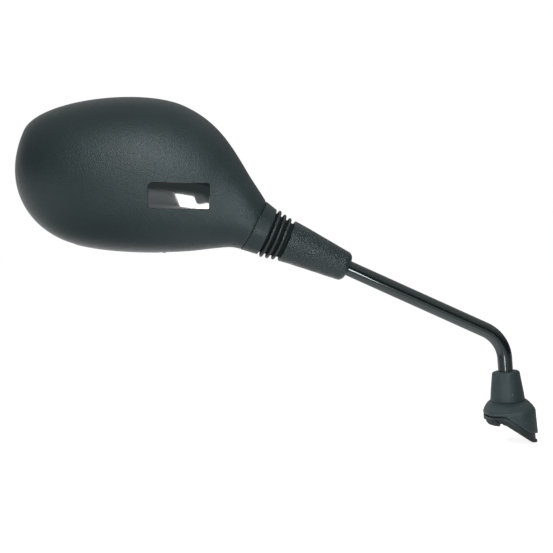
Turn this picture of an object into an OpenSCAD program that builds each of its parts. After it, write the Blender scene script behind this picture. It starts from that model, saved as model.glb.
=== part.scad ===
// Motorcycle mirror: a moulded shell with a convex glass on a bent steel stem,
// a clamped ball joint under a ribbed rubber boot, and a swivelling foot for a fairing.
// The foot stands on the origin. +Z is the swivel axis of the stem, the stem bends in the
// XZ plane towards -X, and the glass faces +Y. All sizes are in millimetres.

/* [Stem] */
// Diameter of the bent rod with its paint
stem_d = 10.5; // [9.5:0.5:11]
// Height of the point where the centre lines of the two straight runs meet
corner_z = 54; // [50:1:70]
// Radius of the bend, on the centre line
bend_r = 24; // [20:1:28]
// Rise of the upper run above the horizontal, in degrees
rise = 28.8; // [20:0.2:40]
// Distance from that corner to the centre of the ball
run = 172.5; // [150:0.5:200]
// Diameter of the shank between the boot and the ball
shank_d = 8; // [7:0.5:9]

/* [Ball joint] */
// Diameter of the ball
ball_d = 16; // [15:0.5:17]
// Diameter of the spigot that the ball turns on
spigot_d = 6; // [5:0.5:6.5]
// Thickness of the plastic liner round the ball
liner_t = 1.6; // [1.2:0.1:1.8]
// Play of a running fit, on the radius
run_fit = 0.05; // [0.02:0.01:0.1]
// Room between the liner's seat and the bore behind the ball
chamber_room = 0.34; // [0.3:0.02:0.6]
// Wall of the socket round that bore
socket_wall = 1; // [1:0.1:1.5]
// Length of the bore from the ball's centre to the spring cap
chamber_l = 24; // [22:1:28]
// Wire diameter of the clamp spring
wire_d = 1.8; // [1.4:0.1:2]
// Turns of the clamp spring
spring_turns = 3; // [2:1:4]

/* [Neck boot] */
// Radius of the sleeve's small end
sleeve_r1 = 10.4; // [10:0.1:12]
// Wall of the sleeve's big end
sleeve_wall = 2.8; // [2.4:0.1:3.4]
// Length of the sleeve
sleeve_l = 46.6; // [40:0.2:60]
// Distance between the ribs
rib_pitch = 4.1; // [3.8:0.1:4.4]
// Number of ribs
rib_count = 3; // [2:1:3]
// Height of the ribs over the grooves
rib_h = 2.3; // [1.8:0.1:2.6]
// Growth of the radius from rib to rib
rib_step = 0.85; // [0.5:0.05:1]
// Thickness of the bellows wall in the first groove
bellows_wall = 1.2; // [0.8:0.1:1.4]
// Wall of the collar at its shell end
collar_wall = 2.4; // [2:0.1:3]
// Length of the collar
collar_l = 9.8; // [9:0.1:12]

/* [Shell] */
// Room between the socket and the shell's neck
neck_room = 2.7; // [2.2:0.1:3.5]
// Wall of the shell's neck under the collar
neck_wall = 2.2; // [1.8:0.1:2.6]
// Wall of the moulded shell
shell_wall = 2.5; // [2:0.1:3]
// Width of the lip round the glass
lip_w = 5; // [4:0.5:7]
// Height of the rim's front face over the neck axis
rim_y = 15; // [13:0.5:18]
// Depth of the back over the neck axis
back_y = 30; // [26:1:36]
// Height of the widest line of the head over the neck axis
waist_y = 7; // [5:0.5:8]

/* [Bracket] */
// Thickness of the bracket that joins the socket to the shell
bracket_t = 3; // [2:0.5:4]
// Distance from the ball's centre to the first pair of screws
screw_z = 52; // [48:1:56]
// Distance between the two screws of the pair
screw_pitch = 20; // [16:1:22]
// Distance from the pair to the third screw
screw_step = 18; // [14:1:22]

/* [Glass] */
// Thickness of the mirror glass
glass_t = 3; // [2:0.5:4]
// Radius of the glass's convex face
glass_r = 1200; // [1000:50:1400]
// Gap round the glass
glass_gap = 0.8; // [0.5:0.1:1.2]
// Thickness of the adhesive foam
foam_t = 1; // [0.5:0.1:1.5]
// Thickness of the backing plate
plate_t = 2; // [1.5:0.1:3]

/* [Foot] */
// Height of the foot's hub
hub_h = 28.2; // [27.2:0.2:31]
// Diameter of the hub round the stem
hub_d = 16; // [15.5:0.5:17]
// Diameter of the pocket that holds the nut and springs
pocket_d = 16.6; // [16.4:0.2:17]
// Height of the pocket's ceiling
pocket_z = 12; // [11.5:0.5:13]
// Thickness of the foot's plate
foot_t = 3; // [2.5:0.1:3.4]
// Slope of the second seat, in degrees
seat_slope = 37; // [30:1:42]
// Place of the ridge between the two seats, along X
ridge_x = -7; // [-9:0.5:-5]
// Distance between the two fixing holes
fixing_pitch = 28; // [27.4:0.2:28.6]
// Bore of the fixing holes, before the M6 thread
fixing_d = 5; // [4.8:0.1:5.2]
// Thickness of the flange that the boot's skirt covers
flange_t = 1.5; // [1:0.1:1.7]
// Thickness of the rubber pad
pad_t = 3.6; // [2.4:0.1:4.2]
// Height of the lug under the pad's level part
lug_h = 1; // [0.6:0.1:1.6]
// Width of that lug
lug_w = 4.4; // [3.6:0.2:5]

/* [Base boot] */
// Thickness of the boot's top round the stem
boot_lid = 1.4; // [1:0.1:2]
// Radius of the cone at its top
cone_r1 = 9.7; // [9.4:0.1:10.4]
// Radius of the cone at the crease
cone_r2 = 11.9; // [11.6:0.1:13]
// Height of the crease at the foot of the cone
crease_z = 11.4; // [11:0.2:13]
// Half width of the skirt along X
skirt_x = 18; // [17:0.1:20]
// Half length of the skirt along Y
skirt_y = 22.5; // [21:0.5:26]
// Wall of the skirt
skirt_wall = 1.7; // [1.2:0.1:2]
// Height of the shoulder's foot, where the skirt begins
shoulder_h = 3.6; // [3.3:0.1:4.5]

/* [Hidden] */
$fn = 64;

// Gap between seated neighbours, and how far a cut runs past a face
seat_gap = 0.05;
cut = 1;

// Stem
stem_r = stem_d / 2;
bend_turn = 90 - rise;
tangent_l = bend_r * tan(bend_turn / 2);
shank_r = shank_d / 2;
shank_from = -14;
shoulder_r = stem_r + 2;
shoulder_t = 1.2;
thread_r = 4;
thread_end = 0.3;
joint_lap = 1;
core_r = stem_r - 1;

// Ball and its spigot
ball_r = ball_d / 2;
spigot_r = spigot_d / 2;
ball_flat = ball_r - 1.5;
head_r = spigot_r + 1.3;
head_from = ball_r / 2;
head_t = 1.7;
head_room = 0.3;

// Liner, socket and what clamps them
split_gap = 0.3;
liner_in = ball_r + 0.03;
liner_out = liner_in + liner_t;
seat_r = liner_out + 0.03;
liner_room = 2.5;
liner_mouth_r = shank_r + liner_room;
chamber_r = seat_r + chamber_room;
socket_r = chamber_r + socket_wall;
mouth_depth = 0.5;
socket_mouth = ball_r + mouth_depth;
swing_room = 4.2;
socket_mouth_r = shank_r + swing_room;
cup_front = 3;
cup_back = seat_r + 2.3;
cup_boss = 1.2;
cap_t = 3.5;
cap_key_r = 4.6;
wire_r = wire_d / 2;
spring_r = chamber_r - wire_r - 0.6;
spring_boss_r = spring_r - wire_r - 0.4;

// Neck boot stations along the neck, from the ball's centre
boot_room = 0.5;
boot_bore_r = socket_r + boot_room;
sleeve_to = -7.6;
sleeve_from = sleeve_to - sleeve_l;
sleeve_round = 4.2;
sleeve_rim = 0.5;
sleeve_r2 = boot_bore_r + sleeve_wall;
rib_w = 1.15;
rib_foot = 0.4;
rib_from = sleeve_to + rib_pitch - 0.3;
rib_r = boot_bore_r + bellows_wall + rib_h;
collar_gap = 2.7;
collar_from = rib_from + rib_pitch * (rib_count - 1) + collar_gap;
collar_to = collar_from + collar_l;
collar_taper = 1.7;

// Shell stations
neck_gap = 0.3;
neck_z = collar_to + neck_gap;
spigot_to = collar_from + 2;
spigot_in = socket_r + neck_room;
spigot_out = spigot_in + neck_wall;
collar_r = spigot_out + collar_wall;

// Foot
hub_r = hub_d / 2;
pocket_r = pocket_d / 2;
hub_wall = 1.5;
thread_hole_z = 4.5;
spot_r = 4.6;
boss_r = 5.6;
ridge_round = 5;
toe_x = 11;
toe_slope = 12;
toe_round = 8;
layer_reach = 6;
skirt_cx = 0.8;
skirt_power = 2.3;
skirt_flare = 0.033;
skirt_edge = 2.7;
edge_slope = seat_slope + 2.3;
edge_toe_x = toe_x - 3;
edge_toe_slope = 17;
edge_round = 0.6;
shoulder_power = 1.38;
crease_dip = 0.8;
foot_inset = skirt_wall + 0.3;
flange_inset = 1.3;
flange_shift = 0.9;
pad_inset = foot_inset;
pad_step = 1.2;
flap_t = 1;
flap_shift = 1.1;
lug_x = -14.4;
lug_inset = pad_inset + 0.8;
groove_r = 1.1;
notch_r = 1.5;
notch_l = 9;
below = 30;
shoulder_room = 0.4;
boot_top = hub_h + shoulder_t + shoulder_room + boot_lid;

// Washers, springs and nut in the pocket, from its ceiling down
washer_t = 1.2;
washer_r = pocket_r - 0.4;
disc_t = 0.8;
disc_h = 1.3;
disc_bore_r = thread_r + 0.2;
pocket_washer_z = pocket_z - seat_gap - washer_t;
upper_disc_z = pocket_washer_z - seat_gap - disc_h;
lower_disc_z = upper_disc_z - seat_gap - disc_h;
nut_washer_z = lower_disc_z - seat_gap - washer_t;
nut_flats = 13;
nut_z = thread_end + 0.2;

// Point of a cubic curve, and its direction
function bez(p, t) =
    let (u = 1 - t)
    u * u * u * p[0] + 3 * u * u * t * p[1] + 3 * u * t * t * p[2] + t * t * t * p[3];
function bez_dir(p, t) =
    let (u = 1 - t)
    3 * u * u * (p[1] - p[0]) + 6 * u * t * (p[2] - p[1]) + 3 * t * t * (p[3] - p[2]);
function unit(v) = v / norm(v);
function mix(a, b, t) = a + (b - a) * t;
function ease(t) = let (u = min(1, max(0, t))) u * u * (3 - 2 * u);
function spow(v, e) = sign(v) * pow(abs(v), e);
function arc(c, r, a0, a1, n) =
    [for (i = [0:n]) let (a = mix(a0, a1, i / n)) [c[0] + r * cos(a), c[1] + r * sin(a)]];

// Places a child in the neck frame: +Z along the neck from the ball's centre, +X up, +Y to the glass
module at_neck() {
    translate([-run * cos(rise), 0, corner_z + run * sin(rise)])
        rotate([0, -bend_turn, 0]) children();
}

// A closed body from rings of equal length, with a flat or pointed end at each side
module loft(rings) {
    n = len(rings[0]);
    m = len(rings);
    points = [for (r = rings) each r];
    sides = [
        for (i = [0:m - 2], j = [0:n - 1], k = [0:1])
            let (a = i * n + j, b = i * n + (j + 1) % n)
            k == 0 ? [a, b, b + n] : [a, b + n, a + n]
    ];
    first = [for (j = [n - 1:-1:0]) j];
    last = [for (j = [0:n - 1]) (m - 1) * n + j];
    polyhedron(points, concat([first], sides, [last]));
}

// Upper and lower outline of the head as [along the neck, up]: cubic curves joined at the knots, then
// how far their handles reach from the knots
tip = [183.9, -4.8];
crown = [92.9, 54.6];
flare = [44, -30.6];
chin = [131, -61.6];
neck_top = [27.5, 18];
neck_low = [8, -0.3];
crown_back = 32.9;
crown_front = 30.8;
flare_back = [7.5, -4.6];
flare_front = [14, -8.6];
chin_back = 26;
chin_front = 29;
tip_top = 22.4;
tip_low = 36.2;
upper = [
    [[neck_z, collar_r], [neck_z, collar_r] + neck_top, crown - [crown_back, 0], crown],
    [crown, crown + [crown_front, 0], tip + [0, tip_top], tip]
];
lower = [
    [[neck_z, -collar_r], [neck_z, -collar_r] + neck_low, flare - flare_back, flare],
    [flare, flare + flare_front, chin - [chin_back, 0], chin],
    [chin, chin + [chin_front, 0], tip - [0, tip_low], tip]
];
upper_knots = [0, 1, 2];
lower_knots = [0, 0.4, 1, 2];
// Depth of the back under the waist line along the head
back_depth = back_y + waist_y;
neck_depth = 6;
tip_depth = 30;
depth = [
    [collar_r, collar_r + neck_depth, back_depth, back_depth],
    [back_depth, back_depth, tip_depth, 0]
];
function piece_at(knots, t, i = 0) = i < len(knots) - 2 && t >= knots[i + 1] ? piece_at(knots, t, i + 1) : i;
function part_of(knots, i, t) = (t - knots[i]) / (knots[i + 1] - knots[i]);
function on_curve(c, knots, t) = let (i = piece_at(knots, t)) bez(c[i], part_of(knots, i, t));
function along_curve(c, knots, t) = let (i = piece_at(knots, t)) bez_dir(c[i], part_of(knots, i, t));
// A point of a rail, moved in by w; side is 1 for the upper rail and -1 for the lower
function rail(t, w, side) =
    let (c = side > 0 ? upper : lower, knots = side > 0 ? upper_knots : lower_knots)
    let (d = unit(along_curve(c, knots, t)))
    on_curve(c, knots, t) + w * side * [d[1], -d[0]];

// Roundness of the head's back and of its flat front, reached at this station
back_power = 2.2;
front_power = 5;
full_from = 0.55;
// One ring of the head at station t, moved in by w, with n points
function head_ring(t, w, n) =
    let (
        a = rail(t, w, 1),
        b = rail(t, w, -1),
        mid = (a + b) / 2,
        half = (a - b) / 2,
        g = ease(t / full_from),
        yc = mix(0, waist_y, g),
        close = min(1, (2 - t) * 9),
        back = on_curve(depth, upper_knots, t) - w,
        front = (mix(collar_r, rim_y - waist_y, g) - w) * (1 - pow(1 - close, 3)),
        nu = mix(2, back_power, g),
        nf = mix(2, front_power, g)
    )
    [
        for (j = [0:n - 1])
            let (
                q = 360 * j / n,
                c = cos(q),
                s = sin(q),
                u = s > 0 ? spow(c, 2 / nu) : spow(c, 2 / nf),
                y = s > 0 ? yc - back * s : yc - front * spow(s, 2 / nf),
                p = mid + half * u
            )
            [p[1], y, p[0]]
    ];
function neck_ring(z, r, n) = [for (j = [0:n - 1]) [r * cos(360 * j / n), -r * sin(360 * j / n), z]];
function tip_ring(w, n) = [for (j = [0:n - 1]) [tip[1], waist_y, tip[0] - w]];

shell_rings = 34;
shell_sides = 40;
shell_end = 1.96;
core_rings = 22;
core_sides = 32;
core_end = 1.93;
module shell_outside() {
    loft(concat(
        [neck_ring(spigot_to, spigot_out, shell_sides), neck_ring(neck_z, spigot_out, shell_sides)],
        [for (i = [0:shell_rings - 1]) head_ring(shell_end * i / (shell_rings - 1), 0, shell_sides)]
    ));
}
module shell_inside() {
    loft(concat(
        [neck_ring(spigot_to - cut, spigot_in, core_sides), neck_ring(neck_z, spigot_in, core_sides)],
        [for (i = [1:core_rings - 1]) head_ring(core_end * i / (core_rings - 1), shell_wall, core_sides)]
    ));
}
// Outline of the head in the glass plane, moved in by w
outline_steps = 16;
glass_from = 0.38;
glass_corner_r = 18;
function head_outline(w) = concat(
    [for (i = [0:outline_steps]) let (p = rail(mix(glass_from, 2, i / outline_steps), w, 1)) [p[1], p[0]]],
    [for (i = [1:outline_steps]) let (p = rail(mix(2, glass_from, i / outline_steps), w, -1)) [p[1], p[0]]]
);
// The outline as a flat prism between two heights
module outline_prism(w, y0, y1) {
    rotate([90, 0, 0]) mirror([0, 0, 1]) translate([0, 0, y0]) linear_extrude(y1 - y0)
        offset(r = glass_corner_r, $fn = 72) offset(delta = -glass_corner_r) polygon(head_outline(w));
}

// Places a flat outline of [up, along the neck] in the neck frame, thick along +Y
module to_face() {
    rotate([90, 0, 0]) mirror([0, 0, 1]) children();
}

// Screws of the bracket and of the plate as [up, along the neck]
bracket_screws = [[-screw_pitch / 2, screw_z], [screw_pitch / 2, screw_z], [0, screw_z + screw_step]];
plate_points = [[38, 92], [-30, 84], [14, 158], [-40, 146]];
bracket_y = -chamber_r - 0.2;
root_in = 4;
root_half = socket_r - root_in;
root_z = chamber_l - root_in;
boss_r1 = 4.2;
boss_r2 = 3.6;
pilot_r = 1.8;
pilot_l = 9.5;
screw_l = 8.5;
screw_r = pilot_r - seat_gap;
pan_r = 3.2;
pan_h = 2.1;
slot_w = 0.8;
sunk_r = 3.4;
sunk_h = 0.4;
plate_screw_l = 10;
plate_head_r = 3;
plate_head_h = 0.9;
hole_room = 0.2;
back_reach = back_y + 5;
glass_edge = rim_y - 2.3;
glass_centre = [-4, 116];
glass_reach = 84;
glass_half = 70;
glass_sag = glass_half * glass_half / (2 * glass_r);
foam_y = glass_edge - glass_t;
plate_top = foam_y - foam_t - seat_gap * 2;
plate_y = plate_top - plate_t;
foam_inset = 4;
plate_inset = 2;

module drill(points, r, y0, y1) {
    for (p = points) to_face() translate([p[0], p[1], y0]) cylinder(r = r, h = y1 - y0);
}

module housing() {
    color("#2b3433") at_neck() difference() {
        shell_outside();
        difference() {
            shell_inside();
            drill(bracket_screws, boss_r1, -back_reach, bracket_y - bracket_t - seat_gap);
            drill(plate_points, boss_r2, -back_reach, plate_y - seat_gap);
        }
        outline_prism(lip_w, 0, rim_y + cut);
        drill(bracket_screws, pilot_r, bracket_y - pilot_l, bracket_y + cut);
        drill(plate_points, pilot_r, plate_y - plate_screw_l, plate_y + cut);
    }
}

module socket() {
    color("#8b9092") at_neck() difference() {
        union() {
            translate([0, 0, -socket_mouth]) cylinder(r = socket_r, h = socket_mouth + chamber_l + cap_t);
            to_face() translate([0, 0, bracket_y - bracket_t]) linear_extrude(bracket_t) difference() {
                union() {
                    polygon([
                        [-root_half, root_z], [-screw_pitch / 2 - boss_r1, screw_z],
                        [-boss_r1, screw_z + screw_step], [boss_r1, screw_z + screw_step],
                        [screw_pitch / 2 + boss_r1, screw_z], [root_half, root_z]
                    ]);
                    for (p = bracket_screws) translate(p) circle(r = boss_r1);
                }
                for (p = bracket_screws) translate(p) circle(r = pilot_r + hole_room);
            }
        }
        sphere(r = seat_r);
        cylinder(r = chamber_r, h = chamber_l + cap_t + cut);
        translate([0, 0, -socket_mouth - cut]) cylinder(r = socket_mouth_r, h = socket_mouth);
    }
}

// Pan-head screws of the bracket
module socket_screws() {
    color("#a9adae") for (p = bracket_screws)
        at_neck() to_face() translate([p[0], p[1], bracket_y + seat_gap]) difference() {
            union() {
                translate([0, 0, -screw_l]) cylinder(r = screw_r, h = screw_l + pan_h / 2);
                rotate_extrude() polygon([
                    [0, 0], [pan_r, 0], [pan_r, pan_h / 2], [pan_r * 0.75, pan_h * 0.9], [0, pan_h]
                ]);
            }
            for (a = [0, 90])
                rotate(a) translate([-screw_r, -slot_w / 2, pan_h / 2]) cube([2 * screw_r, slot_w, pan_h]);
        }
}

module liner_shell(from, to) {
    difference() {
        intersection() {
            sphere(r = liner_out);
            translate([0, 0, from]) cylinder(r = liner_out + cut, h = to - from);
        }
        sphere(r = liner_in);
        translate([0, 0, -liner_out - cut]) cylinder(r = liner_mouth_r, h = liner_out);
    }
}
module liner_mouth_half() {
    color("#d8d5c8") at_neck() liner_shell(-liner_out - cut, -split_gap / 2);
}
module liner_rear_half() {
    color("#d8d5c8") at_neck() liner_shell(split_gap / 2, liner_out + cut);
}

module ball() {
    color("#b9bdbf") at_neck() difference() {
        intersection() {
            sphere(r = ball_r);
            translate([0, 0, -ball_flat]) cylinder(r = ball_r + cut, h = 2 * ball_r);
        }
        translate([0, 0, -ball_r]) cylinder(r = spigot_r + run_fit, h = 2 * ball_r);
        translate([0, 0, head_from]) cylinder(r = head_r + head_room, h = ball_r);
    }
}

module pressure_cup() {
    color("#c9c6ba") at_neck() difference() {
        union() {
            translate([0, 0, cup_front]) cylinder(r = chamber_r - run_fit * 2, h = cup_back - cup_front);
            translate([0, 0, cup_back]) cylinder(r = spring_boss_r, h = cup_boss);
        }
        sphere(r = seat_r);
    }
}

// Helix of round wire between the cup and the cap
module clamp_spring() {
    steps = 18;
    from = cup_back + seat_gap + wire_r;
    to = chamber_l - seat_gap - wire_r;
    sides = 8;
    pitch = (to - from) / spring_turns;
    lead = atan(pitch / (2 * PI * spring_r));
    rings = [
        for (i = [0:steps * spring_turns])
            let (a = 360 * i / steps)
            [
                for (j = [0:sides - 1])
                    let (
                        b = 360 * j / sides,
                        r = spring_r + wire_r * cos(b),
                        tilt = wire_r * sin(b) * sin(lead)
                    )
                    [
                        r * cos(a) + tilt * sin(a),
                        r * sin(a) - tilt * cos(a),
                        from + pitch * a / 360 + wire_r * sin(b) * cos(lead)
                    ]
            ]
    ];
    color("#9a9fa2") at_neck() loft(rings);
}

module spring_cap() {
    color("#8b9092") at_neck() difference() {
        union() {
            translate([0, 0, chamber_l]) cylinder(r = chamber_r - run_fit, h = cap_t);
            translate([0, 0, chamber_l - cup_boss]) cylinder(r = spring_boss_r, h = cup_boss);
        }
        translate([0, 0, chamber_l]) cylinder(r = cap_key_r, h = cap_t + cut, $fn = 6);
    }
}

// Bent steel rod: thread, shaft in the hub, bend, upper run, shank, spigot and riveted head
module stem() {
    color("#101416") {
        translate([0, 0, thread_end]) cylinder(r = thread_r, h = pocket_z - thread_end);
        translate([0, 0, pocket_z]) cylinder(r = stem_r, h = corner_z - tangent_l - pocket_z);
        translate([0, 0, hub_h + seat_gap]) cylinder(r = shoulder_r, h = shoulder_t);
        translate([-bend_r, 0, corner_z - tangent_l]) rotate([90, 0, 0])
            rotate_extrude(angle = bend_turn) translate([bend_r, 0]) circle(r = stem_r);
        at_neck() {
            translate([0, 0, tangent_l - run]) cylinder(r = stem_r, h = run - tangent_l + shank_from);
            translate([0, 0, tangent_l - run - joint_lap]) cylinder(r = core_r, h = 2 * joint_lap);
            translate([0, 0, shank_from]) cylinder(r = shank_r, h = -shank_from - ball_flat - seat_gap);
            translate([0, 0, -ball_flat - joint_lap])
                cylinder(r = spigot_r, h = ball_flat + joint_lap + head_from + seat_gap);
            translate([0, 0, head_from + seat_gap]) cylinder(r = head_r, h = head_t);
        }
    }
}

// One rubber moulding: sleeve on the stem, ribs round the joint, collar on the shell's neck
module neck_boot() {
    sleeve = concat(
        [[stem_r + seat_gap, sleeve_from]],
        arc([sleeve_r1 - sleeve_round, sleeve_from + sleeve_round], sleeve_round, -90, 0, 5),
        [[sleeve_r2, sleeve_to - sleeve_rim], [sleeve_r2 - sleeve_rim, sleeve_to]]
    );
    ribs = [
        for (i = [0:rib_count - 1])
            let (r = rib_r + rib_step * i, z = rib_from + rib_pitch * i)
            each concat(
                [[r - rib_h, z - rib_w - rib_foot]],
                arc([r - rib_w, z], rib_w, -90, 90, 6),
                [[r - rib_h, z + rib_w + rib_foot]]
            )
    ];
    collar_r0 = collar_r - collar_taper;
    collar = [
        [collar_r0 - sleeve_rim, collar_from], [collar_r0, collar_from + sleeve_rim], [collar_r, collar_to],
        [spigot_out + seat_gap, collar_to], [spigot_out + seat_gap, spigot_to - neck_gap]
    ];
    inside = [
        [spigot_in - bellows_wall, spigot_to - neck_gap], [boot_bore_r, rib_from + rib_pitch],
        [boot_bore_r, shank_from + 1], [stem_r + seat_gap, shank_from - 2]
    ];
    color("#20282a") at_neck() rotate_extrude() polygon(concat(sleeve, ribs, collar, inside));
}

// Mirror glass, foam and plate share one bowl centre
module bowl(y_out, t) {
    steps = 10;
    function dish(r) = [r, y_out + glass_sag - r * r / (2 * glass_r)];
    top = [for (i = [0:steps]) dish(glass_reach * i / steps)];
    to_face() translate([glass_centre[0], glass_centre[1], 0])
        rotate_extrude() polygon(concat(top, [for (i = [steps:-1:0]) [top[i][0], top[i][1] - t]]));
}
module mirror_glass() {
    color("#c6d2d6") at_neck() intersection() {
        outline_prism(lip_w + glass_gap, 0, rim_y + cut);
        bowl(glass_edge, glass_t);
    }
}
module adhesive_pad() {
    color("#e9e9e4") at_neck() intersection() {
        outline_prism(lip_w + glass_gap + foam_inset, 0, rim_y + cut);
        bowl(foam_y - seat_gap, foam_t);
    }
}
module backing_plate() {
    color("#1d2223") at_neck() difference() {
        intersection() {
            outline_prism(lip_w + glass_gap + plate_inset, plate_y, rim_y + cut);
            bowl(plate_top, rim_y);
        }
        drill(plate_points, pilot_r + hole_room, plate_y - cut, rim_y);
        drill(plate_points, sunk_r, plate_top - sunk_h, rim_y);
    }
}
module plate_screws() {
    color("#a9adae") for (p = plate_points)
        at_neck() to_face() translate([p[0], p[1], plate_top - sunk_h]) {
            translate([0, 0, -plate_screw_l]) cylinder(r = screw_r, h = plate_screw_l + plate_head_h / 2);
            translate([0, 0, seat_gap]) cylinder(r = plate_head_r, h = plate_head_h);
        }
}

// Line of the seat on the fairing: level, then down over a rounded ridge, then flatter at the toe
function seat_line(dz) =
    let (
        down = tan(seat_slope),
        tl = toe_round * tan((seat_slope - toe_slope) / 2),
        toe_z = dz - (toe_x - ridge_x) * down,
        start = [toe_x - tl * cos(seat_slope), toe_z + tl * sin(seat_slope)],
        ridge_centre = [ridge_x - ridge_round * tan(seat_slope / 2), dz - ridge_round],
        toe_centre = start + toe_round * [sin(seat_slope), cos(seat_slope)],
        far = skirt_x + layer_reach
    )
    concat(
        [[-far, dz]],
        arc(ridge_centre, ridge_round, 90, 90 - seat_slope, 4),
        arc(toe_centre, toe_round, 270 - seat_slope, 270 - toe_slope, 4),
        [[far, toe_z - (far - toe_x) * tan(toe_slope)]]
    );
// Layer of the foot between two heights over the seat line
module seat_layer(z0, z1) {
    low = seat_line(z0);
    high = seat_line(z1);
    reach = skirt_y + layer_reach;
    rotate([90, 0, 0]) translate([0, 0, -reach]) linear_extrude(2 * reach)
        polygon(concat(low, [for (i = [len(high) - 1:-1:0]) high[i]]));
}
// Oval of the skirt, moved in by w
function oval(w, a) = [
    skirt_cx + (skirt_x - w) * spow(cos(a), 2 / skirt_power),
    (skirt_y - w) * spow(sin(a), 2 / skirt_power)
];
module oval_prism(w) {
    translate([0, 0, -below]) linear_extrude(2 * below) polygon([for (i = [0:47]) oval(w, 7.5 * i)]);
}
// Oval of the flange under the skirt's edge, flush with the skirt on the level side
module flange_prism() {
    translate([-flange_shift, 0, 0]) oval_prism(flange_inset);
}
module at_fixings() {
    for (s = [-1, 1]) translate([0, s * fixing_pitch / 2, 0]) children();
}

// Cast foot: plate and flange on the seat line, hub for the stem, pocket for the nut, threaded bosses
module foot() {
    color("#4a5052") difference() {
        union() {
            intersection() {
                oval_prism(foot_inset);
                union() {
                    seat_layer(0, foot_t);
                    intersection() {
                        seat_layer(0, below);
                        translate([0, 0, -below]) union() {
                            cylinder(r = pocket_r + hub_wall, h = below + pocket_z + hub_wall);
                            at_fixings() cylinder(r = boss_r, h = below + thread_hole_z);
                        }
                    }
                }
            }
            intersection() {
                flange_prism();
                seat_layer(0, flange_t);
            }
            translate([0, 0, pocket_z]) cylinder(r = hub_r, h = hub_h - pocket_z);
        }
        translate([0, 0, -below]) cylinder(r = pocket_r, h = below + pocket_z);
        cylinder(r = stem_r + run_fit, h = hub_h + cut);
        at_fixings() {
            translate([0, 0, -below]) cylinder(r = spot_r, h = below);
            cylinder(r = fixing_d / 2, h = thread_hole_z + cut);
        }
    }
}

// Rubber pad under the foot: a step flush with the flange, a flap at the toe, and a lug under the level
// seat, with a groove beside the lug and a notch in the front edge over it
module foot_pad() {
    color("#1a2021") difference() {
        union() {
            intersection() {
                oval_prism(pad_inset);
                seat_layer(-pad_t, -seat_gap);
            }
            intersection() {
                flange_prism();
                seat_layer(-pad_step, -seat_gap);
            }
            intersection() {
                translate([flap_shift, 0, 0]) oval_prism(pad_inset);
                seat_layer(-pad_t, flap_t - pad_t);
            }
            intersection() {
                oval_prism(lug_inset);
                translate([lug_x, -skirt_y, -pad_t - lug_h]) cube([lug_w, 2 * skirt_y, lug_h + cut]);
            }
        }
        translate([0, 0, -below]) cylinder(r = pocket_r, h = 2 * below);
        at_fixings() translate([0, 0, -below]) cylinder(r = spot_r, h = 2 * below);
        translate([lug_x + lug_w + groove_r, skirt_y, -pad_t]) rotate([90, 0, 0])
            cylinder(r = groove_r, h = 2 * skirt_y);
        translate([lug_x + lug_w / 2, notch_l - skirt_y, -notch_r]) rotate([90, 0, 0])
            cylinder(r = notch_r + 0.1, h = notch_l);
    }
}

// Height of the skirt's lower edge at a place along X: level, then down, then flatter at the toe
function ramp(u) = (u + sqrt(u * u + edge_round * edge_round)) / 2;
function edge_z(x) =
    skirt_edge - tan(edge_slope) * ramp(x - ridge_x)
    + (tan(edge_slope) - tan(edge_toe_slope)) * ramp(x - edge_toe_x);

// Rubber boot over the foot: cone with a crease, round shoulder, oval skirt with a sloping edge
module base_boot() {
    n = 40;
    turn = [for (j = [0:n - 1]) 360 * j / n];
    top_round = 2.2;
    lip = 0.3;
    hub_gap = 0.1;
    inner_z = pocket_z + hub_wall + hub_gap;
    lid_z = boot_top - boot_lid;
    lower_hub = pocket_r + hub_wall + hub_gap;
    hole_r = stem_r + 0.3;
    top_ring = arc([cone_r1 - top_round, boot_top - top_round], top_round, 80, 8, 4);
    function circle_ring(r, z) = [for (a = turn) [r * cos(a), r * sin(a), z]];
    function crease_height(a) = crease_z - crease_dip * (1 - sin(a)) / 2;
    function crease_ring(r, dz) = [for (a = turn) [r * cos(a), r * sin(a), crease_height(a) + dz]];
    // Share of the way out and down the shoulder at f, from 0 at the crease to 1 at the skirt
    function out_share(f) = pow(sin(90 * f), 2 / shoulder_power);
    function down_share(f) = 1 - pow(cos(90 * f), 2 / shoulder_power);
    function shoulder_ring(f, w, dz) = [
        for (a = turn)
            let (p = mix((cone_r2 - w) * [cos(a), sin(a)], oval(w, a), out_share(f)))
            [p[0], p[1], mix(crease_height(a), shoulder_h, down_share(f)) + dz]
    ];
    function skirt_ring(f, w, dz) = [
        for (a = turn)
            let (
                z = mix(shoulder_h, edge_z(oval(w, a)[0]), f),
                o = oval(w - skirt_flare * (shoulder_h - z), a)
            )
            [o[0], o[1], z + dz]
    ];
    rings = concat(
        [circle_ring(hole_r, lid_z), circle_ring(hole_r, boot_top - lip)],
        [circle_ring(hole_r + lip, boot_top)],
        [for (p = top_ring) circle_ring(p[0], p[1])],
        [crease_ring(cone_r2, 0.5), crease_ring(cone_r2 - 0.25, 0)],
        [for (f = [0.12, 0.3, 0.48, 0.66, 0.84, 1]) shoulder_ring(f, 0, 0)],
        [skirt_ring(0.5, 0, 0), skirt_ring(1, 0, lip), skirt_ring(1, lip, 0), skirt_ring(1, skirt_wall, 0)],
        [skirt_ring(0, skirt_wall, 0), shoulder_ring(0.6, skirt_wall, -lip)],
        [circle_ring(lower_hub, crease_z / 2 + 2), circle_ring(lower_hub, inner_z)],
        [circle_ring(hub_r + hub_gap, inner_z), circle_ring(hub_r + hub_gap, lid_z)]
    );
    m = len(rings);
    color("#2c3536") polyhedron(
        [for (r = rings) each r],
        [
            for (i = [0:m - 1], j = [0:n - 1], k = [0:1])
                let (
                    a = i * n + j,
                    b = i * n + (j + 1) % n,
                    c = ((i + 1) % m) * n + (j + 1) % n,
                    d = ((i + 1) % m) * n + j
                )
                k == 0 ? [a, b, c] : [a, c, d]
        ]
    );
}

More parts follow.
